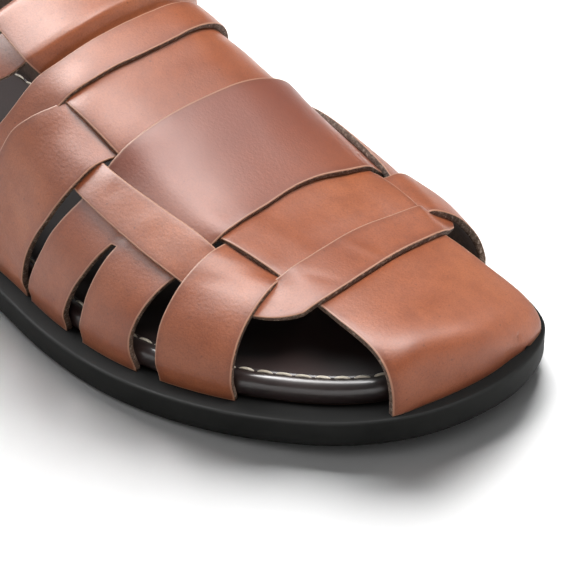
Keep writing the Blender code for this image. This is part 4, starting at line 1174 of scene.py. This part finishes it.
def make_footbed():
    base = SOLE_THICKNESS + GAP
    under = ((2.6, 0.0), (1.2, 0.10), (0.5, 0.5), (0.12, 1.3), (0.0, 2.4), (0.0, 3.3))
    rings = [sole_ring(inset, base + height, FOOTBED_INSET) for inset, height in under]
    insets = [FOOTBED_EDGE_ROUND * (1 - math.cos(a)) for a in np.linspace(0, math.pi / 2, 9)][1:-1]
    insets += [2.5, 2.75, 3.0, 3.25, 3.5, 3.8, 4.4, 5.2, 6.5]
    rings += [sole_ring(inset, base + float(footbed_height(inset)), FOOTBED_INSET)
              for inset in insets]
    lofted_piece("footbed_cover", rings, (FOOTBED_FACE, FOOTBED_ROLL), "footbed_leather",
                 ("footbed",), [1] * (len(rings) - 4) + [0] * 3)
    # thin pressed board between footbed and outsole, set back under the rolled edge
    board = [sole_ring(inset, SOLE_THICKNESS + height, FOOTBED_INSET)
             for inset, height in ((1.5, 0.02), (1.2, 0.10), (1.15, 0.30), (1.3, 0.62), (1.8, 0.66))]
    lofted_piece("seam_board", board, (SEAM_LAYER,), "footbed_leather", ("footbed",))


# ---------------------------------------------------------------- heel counter
def counter_wall():
    """Grid of last points under the counter, and the path of its top edge."""
    rises = np.linspace(0, 1, 46)
    front = COUNTER_FRONT_FOOT + (COUNTER_FRONT_TOP - COUNTER_FRONT_FOOT) * rises
    centre_x = HEEL_ROLL_START
    rows = []

    def wall(origin_x, turn, table_x, from_front=COUNTER_CORNER):
        """One upright of the wall, lowered where the upper front corner rounds off."""
        short = COUNTER_CORNER - np.clip(from_front, 0, COUNTER_CORNER)
        lowered = COUNTER_CORNER - math.sqrt(COUNTER_CORNER**2 - short**2)
        top = column(COUNTER, "top", table_x) - lowered
        height = COUNTER_FOOT + rises * (top - COUNTER_FOOT)
        origin = np.stack([origin_x, ridge(origin_x), height], 1)
        way = np.array([-math.cos(math.radians(turn)), math.sin(math.radians(turn)), 0.0])
        rows.append(hit(origin, np.broadcast_to(way, origin.shape)))

    def side(turn, parts):
        for part in parts:
            x = front + (centre_x - front) * part
            wall(x, turn, x, part * (COUNTER_FRONT_TOP - centre_x))

    steps = (np.linspace(0, 1, 54) ** 1.25)[:-1]
    side(-90.0, steps)
    for turn in np.linspace(-90, 90, 91):
        table_x = centre_x * (1 - math.cos(math.radians(turn)))
        wall(np.full(len(rises), centre_x), turn, np.full(len(rises), table_x))
    side(90.0, steps[::-1])
    return np.array(rows)


def make_counter():
    wall = counter_wall()
    normals = outward(wall)
    tuck = COUNTER_TUCK * smooth(1 - (wall[..., 2] - feather(wall[..., 0])) / COUNTER_TUCK_HEIGHT)
    obj = leather_piece("heel_counter_leather", wall - normals * tuck[..., None], normals)
    place_in_scene(obj, "strap_leather", "heel_counter")
    return wall + normals * LEATHER, normals


# ---------------------------------------------------------------- bands and stitches, by nodes
def socket(tree, name, kind, default=None, output=False):
    way = "OUTPUT" if output else "INPUT"
    new = tree.interface.new_socket(name, in_out=way, socket_type="NodeSocket" + kind)
    if default is not None:
        new.default_value = default


def new_tree(name, *inputs):
    tree = bpy.data.node_groups.new(name, "GeometryNodeTree")
    socket(tree, "Geometry", "Geometry")
    for input_name, kind, *default in inputs:
        socket(tree, input_name, kind, *default)
    socket(tree, "Geometry", "Geometry", output=True)
    return tree, add(tree, "NodeGroupInput").outputs, add(tree, "NodeGroupOutput")


def named(tree, name, kind="FLOAT_VECTOR"):
    return add(tree, "GeometryNodeInputNamedAttribute", {"Name": name},
               data_type=kind).outputs["Attribute"]


def stored(tree, geometry, name, value):
    return made(tree, "GeometryNodeStoreNamedAttribute",
                {"Geometry": geometry, "Name": name, "Value": value}, data_type="FLOAT")


def at(tree, **axes):
    return made(tree, "ShaderNodeCombineXYZ", axes)


def stitching_tree():
    """Evenly pitched stitches along a path: each an arched thread whose ends dip into the leather."""
    tree, given, result = new_tree(
        "saddle_stitches", ("Count", "Int"), ("Length", "Float"), ("Thread", "Float"),
        ("Arch", "Float"), ("Dip", "Float"), ("Unevenness", "Float", 0.04), ("Seed", "Int"),
        ("Finish", "Material"))
    path = made(tree, "GeometryNodeMeshToCurve", {"Mesh": given["Geometry"]})
    spots = add(tree, "GeometryNodeCurveToPoints", {"Curve": path, "Count": given["Count"]},
                mode="COUNT").outputs
    half = sums(tree, "MULTIPLY", given["Length"], 0.5)
    sunk = sums(tree, "MULTIPLY", given["Dip"], -1.0)
    arch = made(tree, "GeometryNodeCurveQuadraticBezier",
                {"Resolution": 8, "Start": at(tree, X=sums(tree, "MULTIPLY", half, -1.0), Z=sunk),
                 "Middle": at(tree, Z=sums(tree, "MULTIPLY", given["Arch"], 2.0)),
                 "End": at(tree, X=half, Z=sunk)})
    factor = add(tree, "GeometryNodeSplineParameter").outputs["Factor"]
    from_middle = sums(tree, "ABSOLUTE", sums(tree, "MULTIPLY_ADD", factor, 2.0, -1.0))
    fullness_here = sums(tree, "SUBTRACT", 1.0, sums(tree, "POWER", from_middle, 4.0))
    taper = sums(tree, "MAXIMUM", sums(tree, "SQRT", fullness_here), 0.35)
    thread = made(tree, "GeometryNodeSetCurveRadius", {"Curve": arch, "Radius": taper})
    section = made(tree, "GeometryNodeCurvePrimitiveCircle",
                   {"Resolution": 8, "Radius": given["Thread"]})
    stitch = made(tree, "GeometryNodeCurveToMesh", {"Curve": thread, "Profile Curve": section,
                                                    "Scale": taper, "Fill Caps": True})
    turned = made(tree, "FunctionNodeAxesToRotation",
                  {"Primary Axis": named(tree, "up"), "Secondary Axis": spots["Tangent"]},
                  primary_axis="Z", secondary_axis="X")
    size = made(tree, "FunctionNodeRandomValue",
                {"Seed": given["Seed"], 0: sums(tree, "SUBTRACT", 1.0, given["Unevenness"]),
                 1: sums(tree, "ADD", 1.0, given["Unevenness"])}, data_type="FLOAT_VECTOR")
    sewn = made(tree, "GeometryNodeInstanceOnPoints",
                {"Points": spots["Points"], "Instance": stitch, "Rotation": turned, "Scale": size})
    real = made(tree, "GeometryNodeRealizeInstances", {"Geometry": sewn})
    shaded = made(tree, "GeometryNodeSetShadeSmooth", {"Geometry": real})
    done = made(tree, "GeometryNodeSetMaterial", {"Geometry": shaded, "Material": given["Finish"]})
    tree.links.new(done, result.inputs["Geometry"])
    return tree


def band_tree():
    """A band of leather swept along a path, narrowed at its tip, with punched holes."""
    tree, given, result = new_tree(
        "leather_band", ("Width", "Float"), ("Thickness", "Float"), ("Corner", "Float"),
        ("Grain", "Material"), ("Edge", "Material"), ("Flesh", "Material"))
    path = made(tree, "GeometryNodeMeshToCurve", {"Mesh": given["Geometry"]})
    upright = made(tree, "GeometryNodeSetCurveNormal", {"Curve": path, "Normal": named(tree, "up")},
                   mode="FREE")
    length = add(tree, "GeometryNodeSplineParameter").outputs["Length"]
    flat = made(tree, "GeometryNodeCurvePrimitiveQuadrilateral",
                {"Width": given["Thickness"], "Height": given["Width"]})
    rounded = made(tree, "GeometryNodeFilletCurve",
                   {"Curve": flat, "Radius": given["Corner"], "Limit Radius": True, "Count": 3},
                   mode="POLY")
    spot = made(tree, "GeometryNodeInputPosition")
    across = sums(tree, "MULTIPLY", part_of(tree, spot, "Y"), -1.0)
    swept = made(tree, "GeometryNodeCurveToMesh",
                 {"Curve": stored(tree, upright, "along", length),
                  "Profile Curve": stored(tree, rounded, "across", across), "Fill Caps": True})
    # narrowing at the tip: points move in along the path's side direction
    drawn_in = sums(tree, "MULTIPLY", named(tree, "across", "FLOAT"),
                    sums(tree, "SUBTRACT", named(tree, "narrow", "FLOAT"), 1.0))
    move = made(tree, "ShaderNodeVectorMath", {0: named(tree, "side"), "Scale": drawn_in},
                operation="SCALE")
    shaped = made(tree, "GeometryNodeSetPosition", {"Geometry": swept, "Offset": move})
    hole = named(tree, "hole", "FLOAT")
    punched = made(tree, "FunctionNodeCompare", {"A": hole}, data_type="FLOAT",
                   operation="GREATER_THAN")
    holes = made(tree, "GeometryNodeMeshToPoints", {"Mesh": given["Geometry"],
                                                    "Selection": punched})
    punch = made(tree, "GeometryNodeMeshCylinder", {"Vertices": 20, "Radius": 1.0,
                                                    "Depth": 10 * MM})
    turned = made(tree, "FunctionNodeAxesToRotation",
                  {"Primary Axis": named(tree, "up"), "Secondary Axis": named(tree, "side")},
                  primary_axis="Z", secondary_axis="Y")
    size = at(tree, X=sums(tree, "MULTIPLY", hole, named(tree, "hole_stretch", "FLOAT")), Y=hole,
              Z=1.0)
    punches = made(tree, "GeometryNodeInstanceOnPoints",
                   {"Points": holes, "Instance": punch, "Rotation": turned, "Scale": size})
    # triangles first, because a bent quad isn't flat and leaves slivers where it is punched
    cut = made(tree, "GeometryNodeMeshBoolean",
               {"Mesh 1": made(tree, "GeometryNodeTriangulate", {"Mesh": shaped}),
                "Mesh 2": made(tree, "GeometryNodeRealizeInstances", {"Geometry": punches})},
               operation="DIFFERENCE", solver="EXACT")
    # grain on the outer face, flesh on the inner one, raw leather on what is left
    facing = add(tree, "ShaderNodeVectorMath",
                 {0: made(tree, "GeometryNodeInputNormal"), 1: named(tree, "up")},
                 operation="DOT_PRODUCT").outputs["Value"]
    dressed = made(tree, "GeometryNodeSetMaterial", {"Geometry": cut, "Material": given["Edge"]})
    for face, test, limit in (("Grain", "GREATER_THAN", 0.5), ("Flesh", "LESS_THAN", -0.5)):
        dressed = made(tree, "GeometryNodeSetMaterial",
                       {"Geometry": dressed, "Material": given[face],
                        "Selection": sums(tree, test, facing, limit)})
    tree.links.new(dressed, result.inputs["Geometry"])
    return tree


def path_object(name, points, ups, closed=False, **extra):
    """Edges along a path, with the surface's direction and other values stored on its points."""
    n = len(points)
    mesh = bpy.data.meshes.new(name)
    edges = [(i, (i + 1) % n) for i in range(n if closed else n - 1)]
    mesh.from_pydata([tuple(p) for p in to_metres(points)], edges, [])
    for key, values in {"up": ups, **extra}.items():
        values = np.asarray(values, np.float32)
        kind, field = ("FLOAT_VECTOR", "vector") if values.ndim == 2 else ("FLOAT", "value")
        mesh.attributes.new(key, kind, "POINT").data.foreach_set(field, values.ravel())
    return shown(name, mesh)


def grown(path, tree, **values):
    """Runs a tree on a path object and returns the plain mesh it makes."""
    modifier = path.modifiers.new(tree.name, "NODES")
    modifier.node_group = tree
    sockets = {s.name: s.identifier for s in tree.interface.items_tree if s.in_out == "INPUT"}
    for key, value in values.items():
        modifier[sockets[key.replace("_", " ")]] = value
    bpy.context.view_layer.update()
    evaluated = path.evaluated_get(bpy.context.evaluated_depsgraph_get())
    mesh = bpy.data.meshes.new_from_object(evaluated)
    name = path.name
    path.modifiers.remove(modifier)
    bpy.data.objects.remove(path)
    mesh.name = name
    return shown(name, mesh)


STITCHES = stitching_tree()
BAND = band_tree()


# In mm; STITCH_DIP is how far the ends of a stitch sink in.
FOOTBED_STITCH = {"pitch": 5.1, "length": 4.2, "thread": 0.36, "arch": 0.32, "seed": 3}
COUNTER_STITCH = {"pitch": 3.2, "length": 2.5, "thread": 0.28, "arch": 0.25, "seed": 5}
STITCH_DIP = 0.25
STITCH_LIFT = 0.22           # the footbed's thread over the bottom of its groove
COUNTER_STITCH_LIFT = 0.12
COUNTER_STITCH_DOWN = 3.2    # that line under the counter's top edge


def sew(name, points, ups, finish, slot_name, pitch, length, thread, arch, seed, closed=False):
    steps = np.linalg.norm(np.diff(points, axis=0), axis=1).sum()
    if closed:
        steps += np.linalg.norm(points[0] - points[-1])
    path = path_object(name, points, ups, closed)
    obj = grown(path, STITCHES, Count=int(round(steps / pitch)), Length=length * MM,
                Thread=thread * MM, Arch=arch * MM, Dip=STITCH_DIP * MM, Seed=seed, Finish=finish)
    return place_in_scene(obj, slot_name)


def make_footbed_stitches():
    height = SOLE_THICKNESS + GAP + float(footbed_height(STITCH_INSET)) + STITCH_LIFT
    ring = sole_ring(STITCH_INSET, height, FOOTBED_INSET)
    ups = np.tile((0.0, 0.0, 1.0), (len(ring), 1))
    sew("footbed_stitches", ring, ups, CREAM_THREAD, "footbed_leather", closed=True,
        **FOOTBED_STITCH)


def make_counter_stitches(grain, normals):
    inset_rows = slice(5, -5)
    top = grain[inset_rows, -1] + normals[inset_rows, -1] * COUNTER_STITCH_LIFT
    top[:, 2] -= COUNTER_STITCH_DOWN
    sew("counter_stitches", top, normals[inset_rows, -1], TAN_THREAD, "strap_leather",
        **COUNTER_STITCH)


# ---------------------------------------------------------------- ankle strap, keeper and buckle
def ankle_frame(step, side="lateral"):
    """Points on the last under the ankle strap's middle line, with their three directions."""
    step = np.atleast_1d(np.asarray(step, float))

    def base_at(s):
        angle = column(ANKLE_PATH, side, s, "step")
        return skin(column(ANKLE_PATH, "x", s, "step"), 180 - angle if side == "medial" else angle)

    base = base_at(step)
    along = base_at(np.minimum(step + 0.05, 12.0)) - base_at(np.maximum(step - 0.05, 0.0))
    out = outward(base)
    along -= out * np.sum(along * out, -1, keepdims=True)
    along /= np.linalg.norm(along, axis=-1, keepdims=True)
    return base, along, np.cross(out, along), out


def ankle_line():
    """Middle line of the ankle strap from its tip, with its outward and sideways directions."""
    steps_up = np.arange(0, 12.001, 0.1)
    points, ups, sides = [], [], []
    for side, steps in (("lateral", steps_up), ("medial", steps_up[-2:9:-1])):
        base, _, across, out = ankle_frame(steps, side)
        level = column(ANKLE_PATH, "level_" + side, steps, "step") + ANKLE_STRAP_LEATHER / 2
        points.append(base + out * level[:, None])
        ups.append(out)
        sides.append(across if side == "lateral" else -across)
    return np.vstack(points), np.vstack(ups), np.vstack(sides)


def buckle_axes():
    """Middles of the frame's rear and front bar, and the directions between and along them."""
    rear, _, _, out_rear = (v[0] for v in ankle_frame(BUCKLE_REAR_STEP))
    front, _, across, out_front = (v[0] for v in ankle_frame(BUCKLE_FRONT_STEP))
    rear = rear + out_rear * BUCKLE_REAR_LEVEL
    front = front + out_front * BUCKLE_FRONT_LEVEL
    forward = (front - rear) / np.linalg.norm(front - rear)
    across = across - forward * np.dot(across, forward)
    across /= np.linalg.norm(across)
    return rear, front, forward, across, np.cross(forward, across)


HOLE_RADIUS = 1.15
HOLE_PITCH = 7.0
HOLE_PLACES = (-3, -2, -1, 0, 1, 2)      # pitches from the hole that the prong is in
PRONG_HOLE = 5.6             # that hole, from the frame's rear bar
WORN_HOLE_RADIUS = 1.3
WORN_HOLE_STRETCH = 2.4


def leather_band(path, width, thickness, corner, node):
    """Sweeps a band along a path object and puts it in the scene."""
    obj = grown(path, BAND, Width=width * MM, Thickness=thickness * MM, Corner=corner * MM,
                Grain=TAN_LEATHER, Edge=RAW_EDGE, Flesh=FLESH_SIDE)
    mark_band(obj, width)
    place_in_scene(obj, "strap_leather", node)


def make_ankle_strap():
    points, ups, sides = ankle_line()
    travel = np.concatenate([[0], np.cumsum(np.linalg.norm(np.diff(points, axis=0), axis=1))])
    tip = np.clip(travel / (0.75 * ANKLE_STRAP_WIDTH), 0, 1)
    narrow = np.maximum(np.sqrt(1 - (1 - tip) ** 2.2), 0.12)
    rear, _, forward, _, _ = buckle_axes()
    at_prong = int(np.argmin(np.linalg.norm(points - (rear + forward * PRONG_HOLE), axis=1)))
    hole, stretch = np.zeros(len(points)), np.ones(len(points))
    for k in HOLE_PLACES:
        spot = int(np.argmin(np.abs(travel - travel[at_prong] - k * HOLE_PITCH)))
        hole[spot] = HOLE_RADIUS * MM
    hole[at_prong], stretch[at_prong] = WORN_HOLE_RADIUS * MM, WORN_HOLE_STRETCH
    path = path_object("ankle_strap_leather", points, ups, side=sides, narrow=narrow,
                       hole=hole, hole_stretch=stretch)
    leather_band(path, ANKLE_STRAP_WIDTH, ANKLE_STRAP_LEATHER, 0.45, "ankle_strap")


def mark_band(obj, width):
    """Gives a swept band the same place values that the cut pieces have."""
    mesh = obj.data
    n = len(mesh.vertices)
    along, across = np.zeros(n, np.float32), np.zeros(n, np.float32)
    mesh.attributes["along"].data.foreach_get("value", along)
    mesh.attributes["across"].data.foreach_get("value", across)
    across = across / MM
    from_edge = np.maximum(width / 2 - np.abs(across), 0)
    place = np.stack([along / MM, across, from_edge], 1).astype(np.float32)
    mesh.attributes.new("strap_place", "FLOAT_VECTOR", "POINT").data.foreach_set(
        "vector", place.ravel())
    mesh.shade_smooth()
    mesh.set_sharp_from_angle(angle=math.radians(40))


def wire_piece(name, points, radius, node, closed=False):
    """Round brass wire along points."""
    curve = bpy.data.curves.new(name, "CURVE")
    curve.dimensions = "3D"
    curve.bevel_depth = radius * MM
    curve.bevel_resolution = 5
    curve.use_fill_caps = not closed
    spline = curve.splines.new("POLY")
    spline.points.add(len(points) - 1)
    for point, at in zip(spline.points, to_metres(points)):
        point.co = (at[0], at[1], at[2], 1.0)
    spline.use_cyclic_u = closed
    maker = shown(name + "_line", curve)
    bpy.context.view_layer.update()
    mesh = bpy.data.meshes.new_from_object(
        maker.evaluated_get(bpy.context.evaluated_depsgraph_get()))
    bpy.data.objects.remove(maker)
    bm = bmesh.new()
    bm.from_mesh(mesh)
    bmesh.ops.remove_doubles(bm, verts=bm.verts, dist=0.01 * MM)
    bmesh.ops.recalc_face_normals(bm, faces=bm.faces)
    bm.to_mesh(mesh)
    bm.free()
    mesh.name = name
    mesh.materials.clear()
    mesh.materials.append(OLD_BRASS)
    mesh.shade_smooth()
    return place_in_scene(shown(name, mesh), "buckle_metal", node)


def make_buckle():
    rear, front, forward, across, out = buckle_axes()
    length = np.linalg.norm(front - rear)
    ring = []
    for side_x, side_y, start in ((1, 1, 0), (0, 1, 90), (0, -1, 180), (1, -1, 270)):
        cx = length - BUCKLE_CORNER if side_x else BUCKLE_CORNER
        cy = side_y * (BUCKLE_HALF_WIDTH - BUCKLE_CORNER)
        for turn in np.radians(start + np.linspace(0, 90, 9)):
            ring.append(rear + forward * (cx + BUCKLE_CORNER * math.cos(turn))
                        + across * (cy + BUCKLE_CORNER * math.sin(turn)))
    wire_piece("buckle_frame_brass", ring, BUCKLE_WIRE, "buckle_frame", closed=True)
    rest = BUCKLE_WIRE + GAP + PRONG_WIRE
    path = ((rest, 0.0), (2.9, 0.4), (4.4, 1.6), (6.2, 2.9), (8.5, 3.3), (11.5, 2.9),
            (length - 2.0, rest + 0.5), (length, rest + 0.3), (length + 1.4, rest - 0.2))
    prong = through([rear + forward * a + out * b for a, b in path], 6)
    wire_piece("buckle_prong_brass", prong, PRONG_WIRE, "buckle_prong")


def make_buckle_tab():
    """Leather tab folded round the frame's rear bar, with a slot for the prong."""
    rear, _, forward, across, out = buckle_axes()
    radius = BUCKLE_WIRE + GAP + TAB_LEATHER / 2
    tab = [(-9.0, 2.5), (-6.5, 2.2), (-3.5, 1.85)]
    tab += [(radius * math.cos(a), radius * math.sin(a))
            for a in np.radians((105, 75, 45, 15, -15, -45, -75, -105))]
    tab += [(-2.6, -radius)]
    line = through(tab, 6)
    run = np.gradient(line, axis=0)
    run /= np.linalg.norm(run, axis=1)[:, None]
    facing = run @ np.array([[0.0, -1.0], [1.0, 0.0]])
    facing *= np.sign(facing[0, 1])
    offsets = np.concatenate([np.linspace(-TAB_HALF_WIDTH, -TAB_SLOT_HALF, 8),
                              np.linspace(TAB_SLOT_HALF, TAB_HALF_WIDTH, 8)])
    middle = rear + line[:, :1, None].transpose(0, 2, 1) * forward
    middle = middle + line[:, 1:, None].transpose(0, 2, 1) * out
    normals = facing[:, :1, None] * forward + facing[:, 1:, None] * out
    rows = middle + offsets[None, :, None] * across
    normals = np.broadcast_to(normals, rows.shape)
    keep = np.ones((len(line) - 1, len(offsets) - 1), bool)
    keep[3 * 6:10 * 6, 7] = False
    obj = leather_piece("buckle_tab_leather", rows - normals * TAB_LEATHER / 2, normals,
                        TAB_LEATHER, keep)
    place_in_scene(obj, "strap_leather", "buckle_tab")


def make_keeper():
    """Loop over the strap's loose end."""
    base, along, over, up = (v[0] for v in ankle_frame(KEEPER_STEP))
    rising = [(-across, level) for across, level in KEEPER_ARCH]
    line = through(rising + [(0, KEEPER_TOP)] + list(KEEPER_ARCH[::-1]), 5)
    run = np.gradient(line, axis=0)
    run /= np.linalg.norm(run, axis=1)[:, None]
    points = base + line[:, :1] * over + line[:, 1:] * up
    ups = -run[:, 1:] * over + run[:, :1] * up
    ups = ups * np.sign(ups[len(ups) // 2] @ up)
    n = len(points)
    path = path_object("strap_keeper_leather", points, ups, side=np.tile(along, (n, 1)),
                       narrow=np.ones(n), hole=np.zeros(n), hole_stretch=np.ones(n))
    leather_band(path, KEEPER_WIDTH, KEEPER_LEATHER, 0.35, "strap_keeper")


# ---------------------------------------------------------------- studio
CAMERA_AIM = (239.8, -13.5, 25.0)        # in the shoe's own millimetres
CAMERA_BEARING = 41.18
CAMERA_RISE = 34.89
CAMERA_ROLL = -1.02
CAMERA_DISTANCE = 550.0
CAMERA_LENS = 128.36
SENSOR = 36.0


def make_camera():
    a, e, r = (math.radians(v) for v in (CAMERA_BEARING, CAMERA_RISE, CAMERA_ROLL))
    back = np.array([math.sin(a) * math.cos(e), -math.cos(a) * math.cos(e), math.sin(e)])
    level = np.array([math.cos(a), math.sin(a), 0.0])
    over = np.cross(back, level)
    right = math.cos(r) * level + math.sin(r) * over
    up = -math.sin(r) * level + math.cos(r) * over
    data = bpy.data.cameras.new("studio_camera")
    data.lens = CAMERA_LENS
    data.sensor_width = SENSOR
    data.clip_start, data.clip_end = 0.01, 50.0
    camera = shown("studio_camera", data)
    place = to_metres(np.array(CAMERA_AIM) + back * CAMERA_DISTANCE)
    turned = Matrix((right, up, back)).transposed().to_4x4()
    camera.matrix_world = Matrix.Translation(place) @ turned
    SCENE.camera = camera


STUDIO_AIM = (0.07, -0.01, 0.03)


def soft_light(name, bearing, rise, distance, size, power, only):
    """Softbox that is seen by one kind of ray, "sheen" or "body", alone."""
    data = bpy.data.lights.new(name, "AREA")
    data.shape = "RECTANGLE"
    data.size, data.size_y = size
    data.energy = power
    light = shown(name, data)
    turn, lift = math.radians(bearing), math.radians(rise)
    way = Vector((math.cos(lift) * math.cos(turn), math.cos(lift) * math.sin(turn), math.sin(lift)))
    light.location = Vector(STUDIO_AIM) + way * distance
    light.rotation_mode = "QUATERNION"
    light.rotation_quaternion = way.to_track_quat("Z", "Y")
    light.visible_diffuse = only != "sheen"
    light.visible_glossy = only != "body"
    return light


# Name, bearing and rise in degrees, distance and size in metres, power in watts.
SHEEN_LAMPS = (
    ("left_softbox_sheen", -158.0, 52.0, 1.0, (0.62, 0.75), 30.0),
    ("top_softbox_sheen", 10.0, 72.0, 1.1, (0.60, 0.50), 15.5),
    ("over_softbox_sheen", -140.0, 78.0, 1.1, (0.55, 0.50), 6.2),
    ("back_softbox_sheen", 52.0, 40.0, 1.1, (0.50, 0.30), 4.6),
)
SANDAL_LAMPS = (
    ("back_softbox", 40.0, 70.0, 1.1, (0.60, 0.50), 17.0),
    ("left_fill", -165.0, 22.0, 1.1, (0.50, 0.50), 4.0),
    ("near_fill", -80.0, 25.0, 1.1, (0.60, 0.40), 2.0),
)
FLOOR_LAMPS = (("floor_softbox", 132.0, 43.5, 1.1, (0.80, 0.60), 31.0),)
AIR_LIGHT = 0.15
FLOOR_HALF = 6.0             # metres


def make_studio():
    """World, lamps and floor; returns the lamps for the sandal alone and for the floor alone."""
    world = bpy.data.worlds.new("studio_air")
    world.use_nodes = True
    background = world.node_tree.nodes["Background"].inputs
    background["Color"].default_value = (1.0, 1.0, 1.0, 1.0)
    background["Strength"].default_value = AIR_LIGHT
    SCENE.world = world
    SCENE.view_settings.view_transform = "Standard"
    for lamp in SHEEN_LAMPS:
        soft_light(*lamp, "sheen")
    on_sandal, on_floor = ([soft_light(*lamp, "body") for lamp in lamps]
                           for lamps in (SANDAL_LAMPS, FLOOR_LAMPS))
    floor, tree, where = finish_of("white_floor", Roughness=0.85, Specular_IOR_Level=0.1)
    paper = noise(tree, where, 40.0, 3.0, 0.5)
    dress(tree, ramp(tree, paper, (0.3, (0.90, 0.90, 0.90)), (0.7, (0.93, 0.93, 0.93))), None)
    half = FLOOR_HALF
    mesh = bpy.data.meshes.new("studio_floor")
    mesh.from_pydata([(-half, -half, 0), (half, -half, 0), (half, half, 0), (-half, half, 0)],
                     [], [(0, 1, 2, 3)])
    mesh.materials.append(floor)
    ground = shown("studio_floor", mesh)
    return on_sandal, on_floor


def part_the_light(on_sandal, on_floor):
    """Flags the lamps, so that some light only the sandal and some only the floor."""
    sandal = bpy.data.collections.new("lit_sandal")
    floor = bpy.data.collections.new("lit_floor")
    for obj in SCENE.objects:
        if obj.type == "MESH":
            (floor if obj.name == "studio_floor" else sandal).objects.link(obj)
    for lamps, lit in ((on_sandal, sandal), (on_floor, floor)):
        for lamp in lamps:
            lamp.light_linking.receiver_collection = lit


# ---------------------------------------------------------------- making the sandal
make_camera()
sandal_lamps, floor_lamps = make_studio()
make_outsole()
make_heel()
make_footbed()
make_footbed_stitches()
make_centre_strip()
make_cross_straps()
make_lacing_straps()
make_counter_stitches(*make_counter())
make_ankle_strap()
make_keeper()
make_buckle_tab()
make_buckle()
part_the_light(sandal_lamps, floor_lamps)
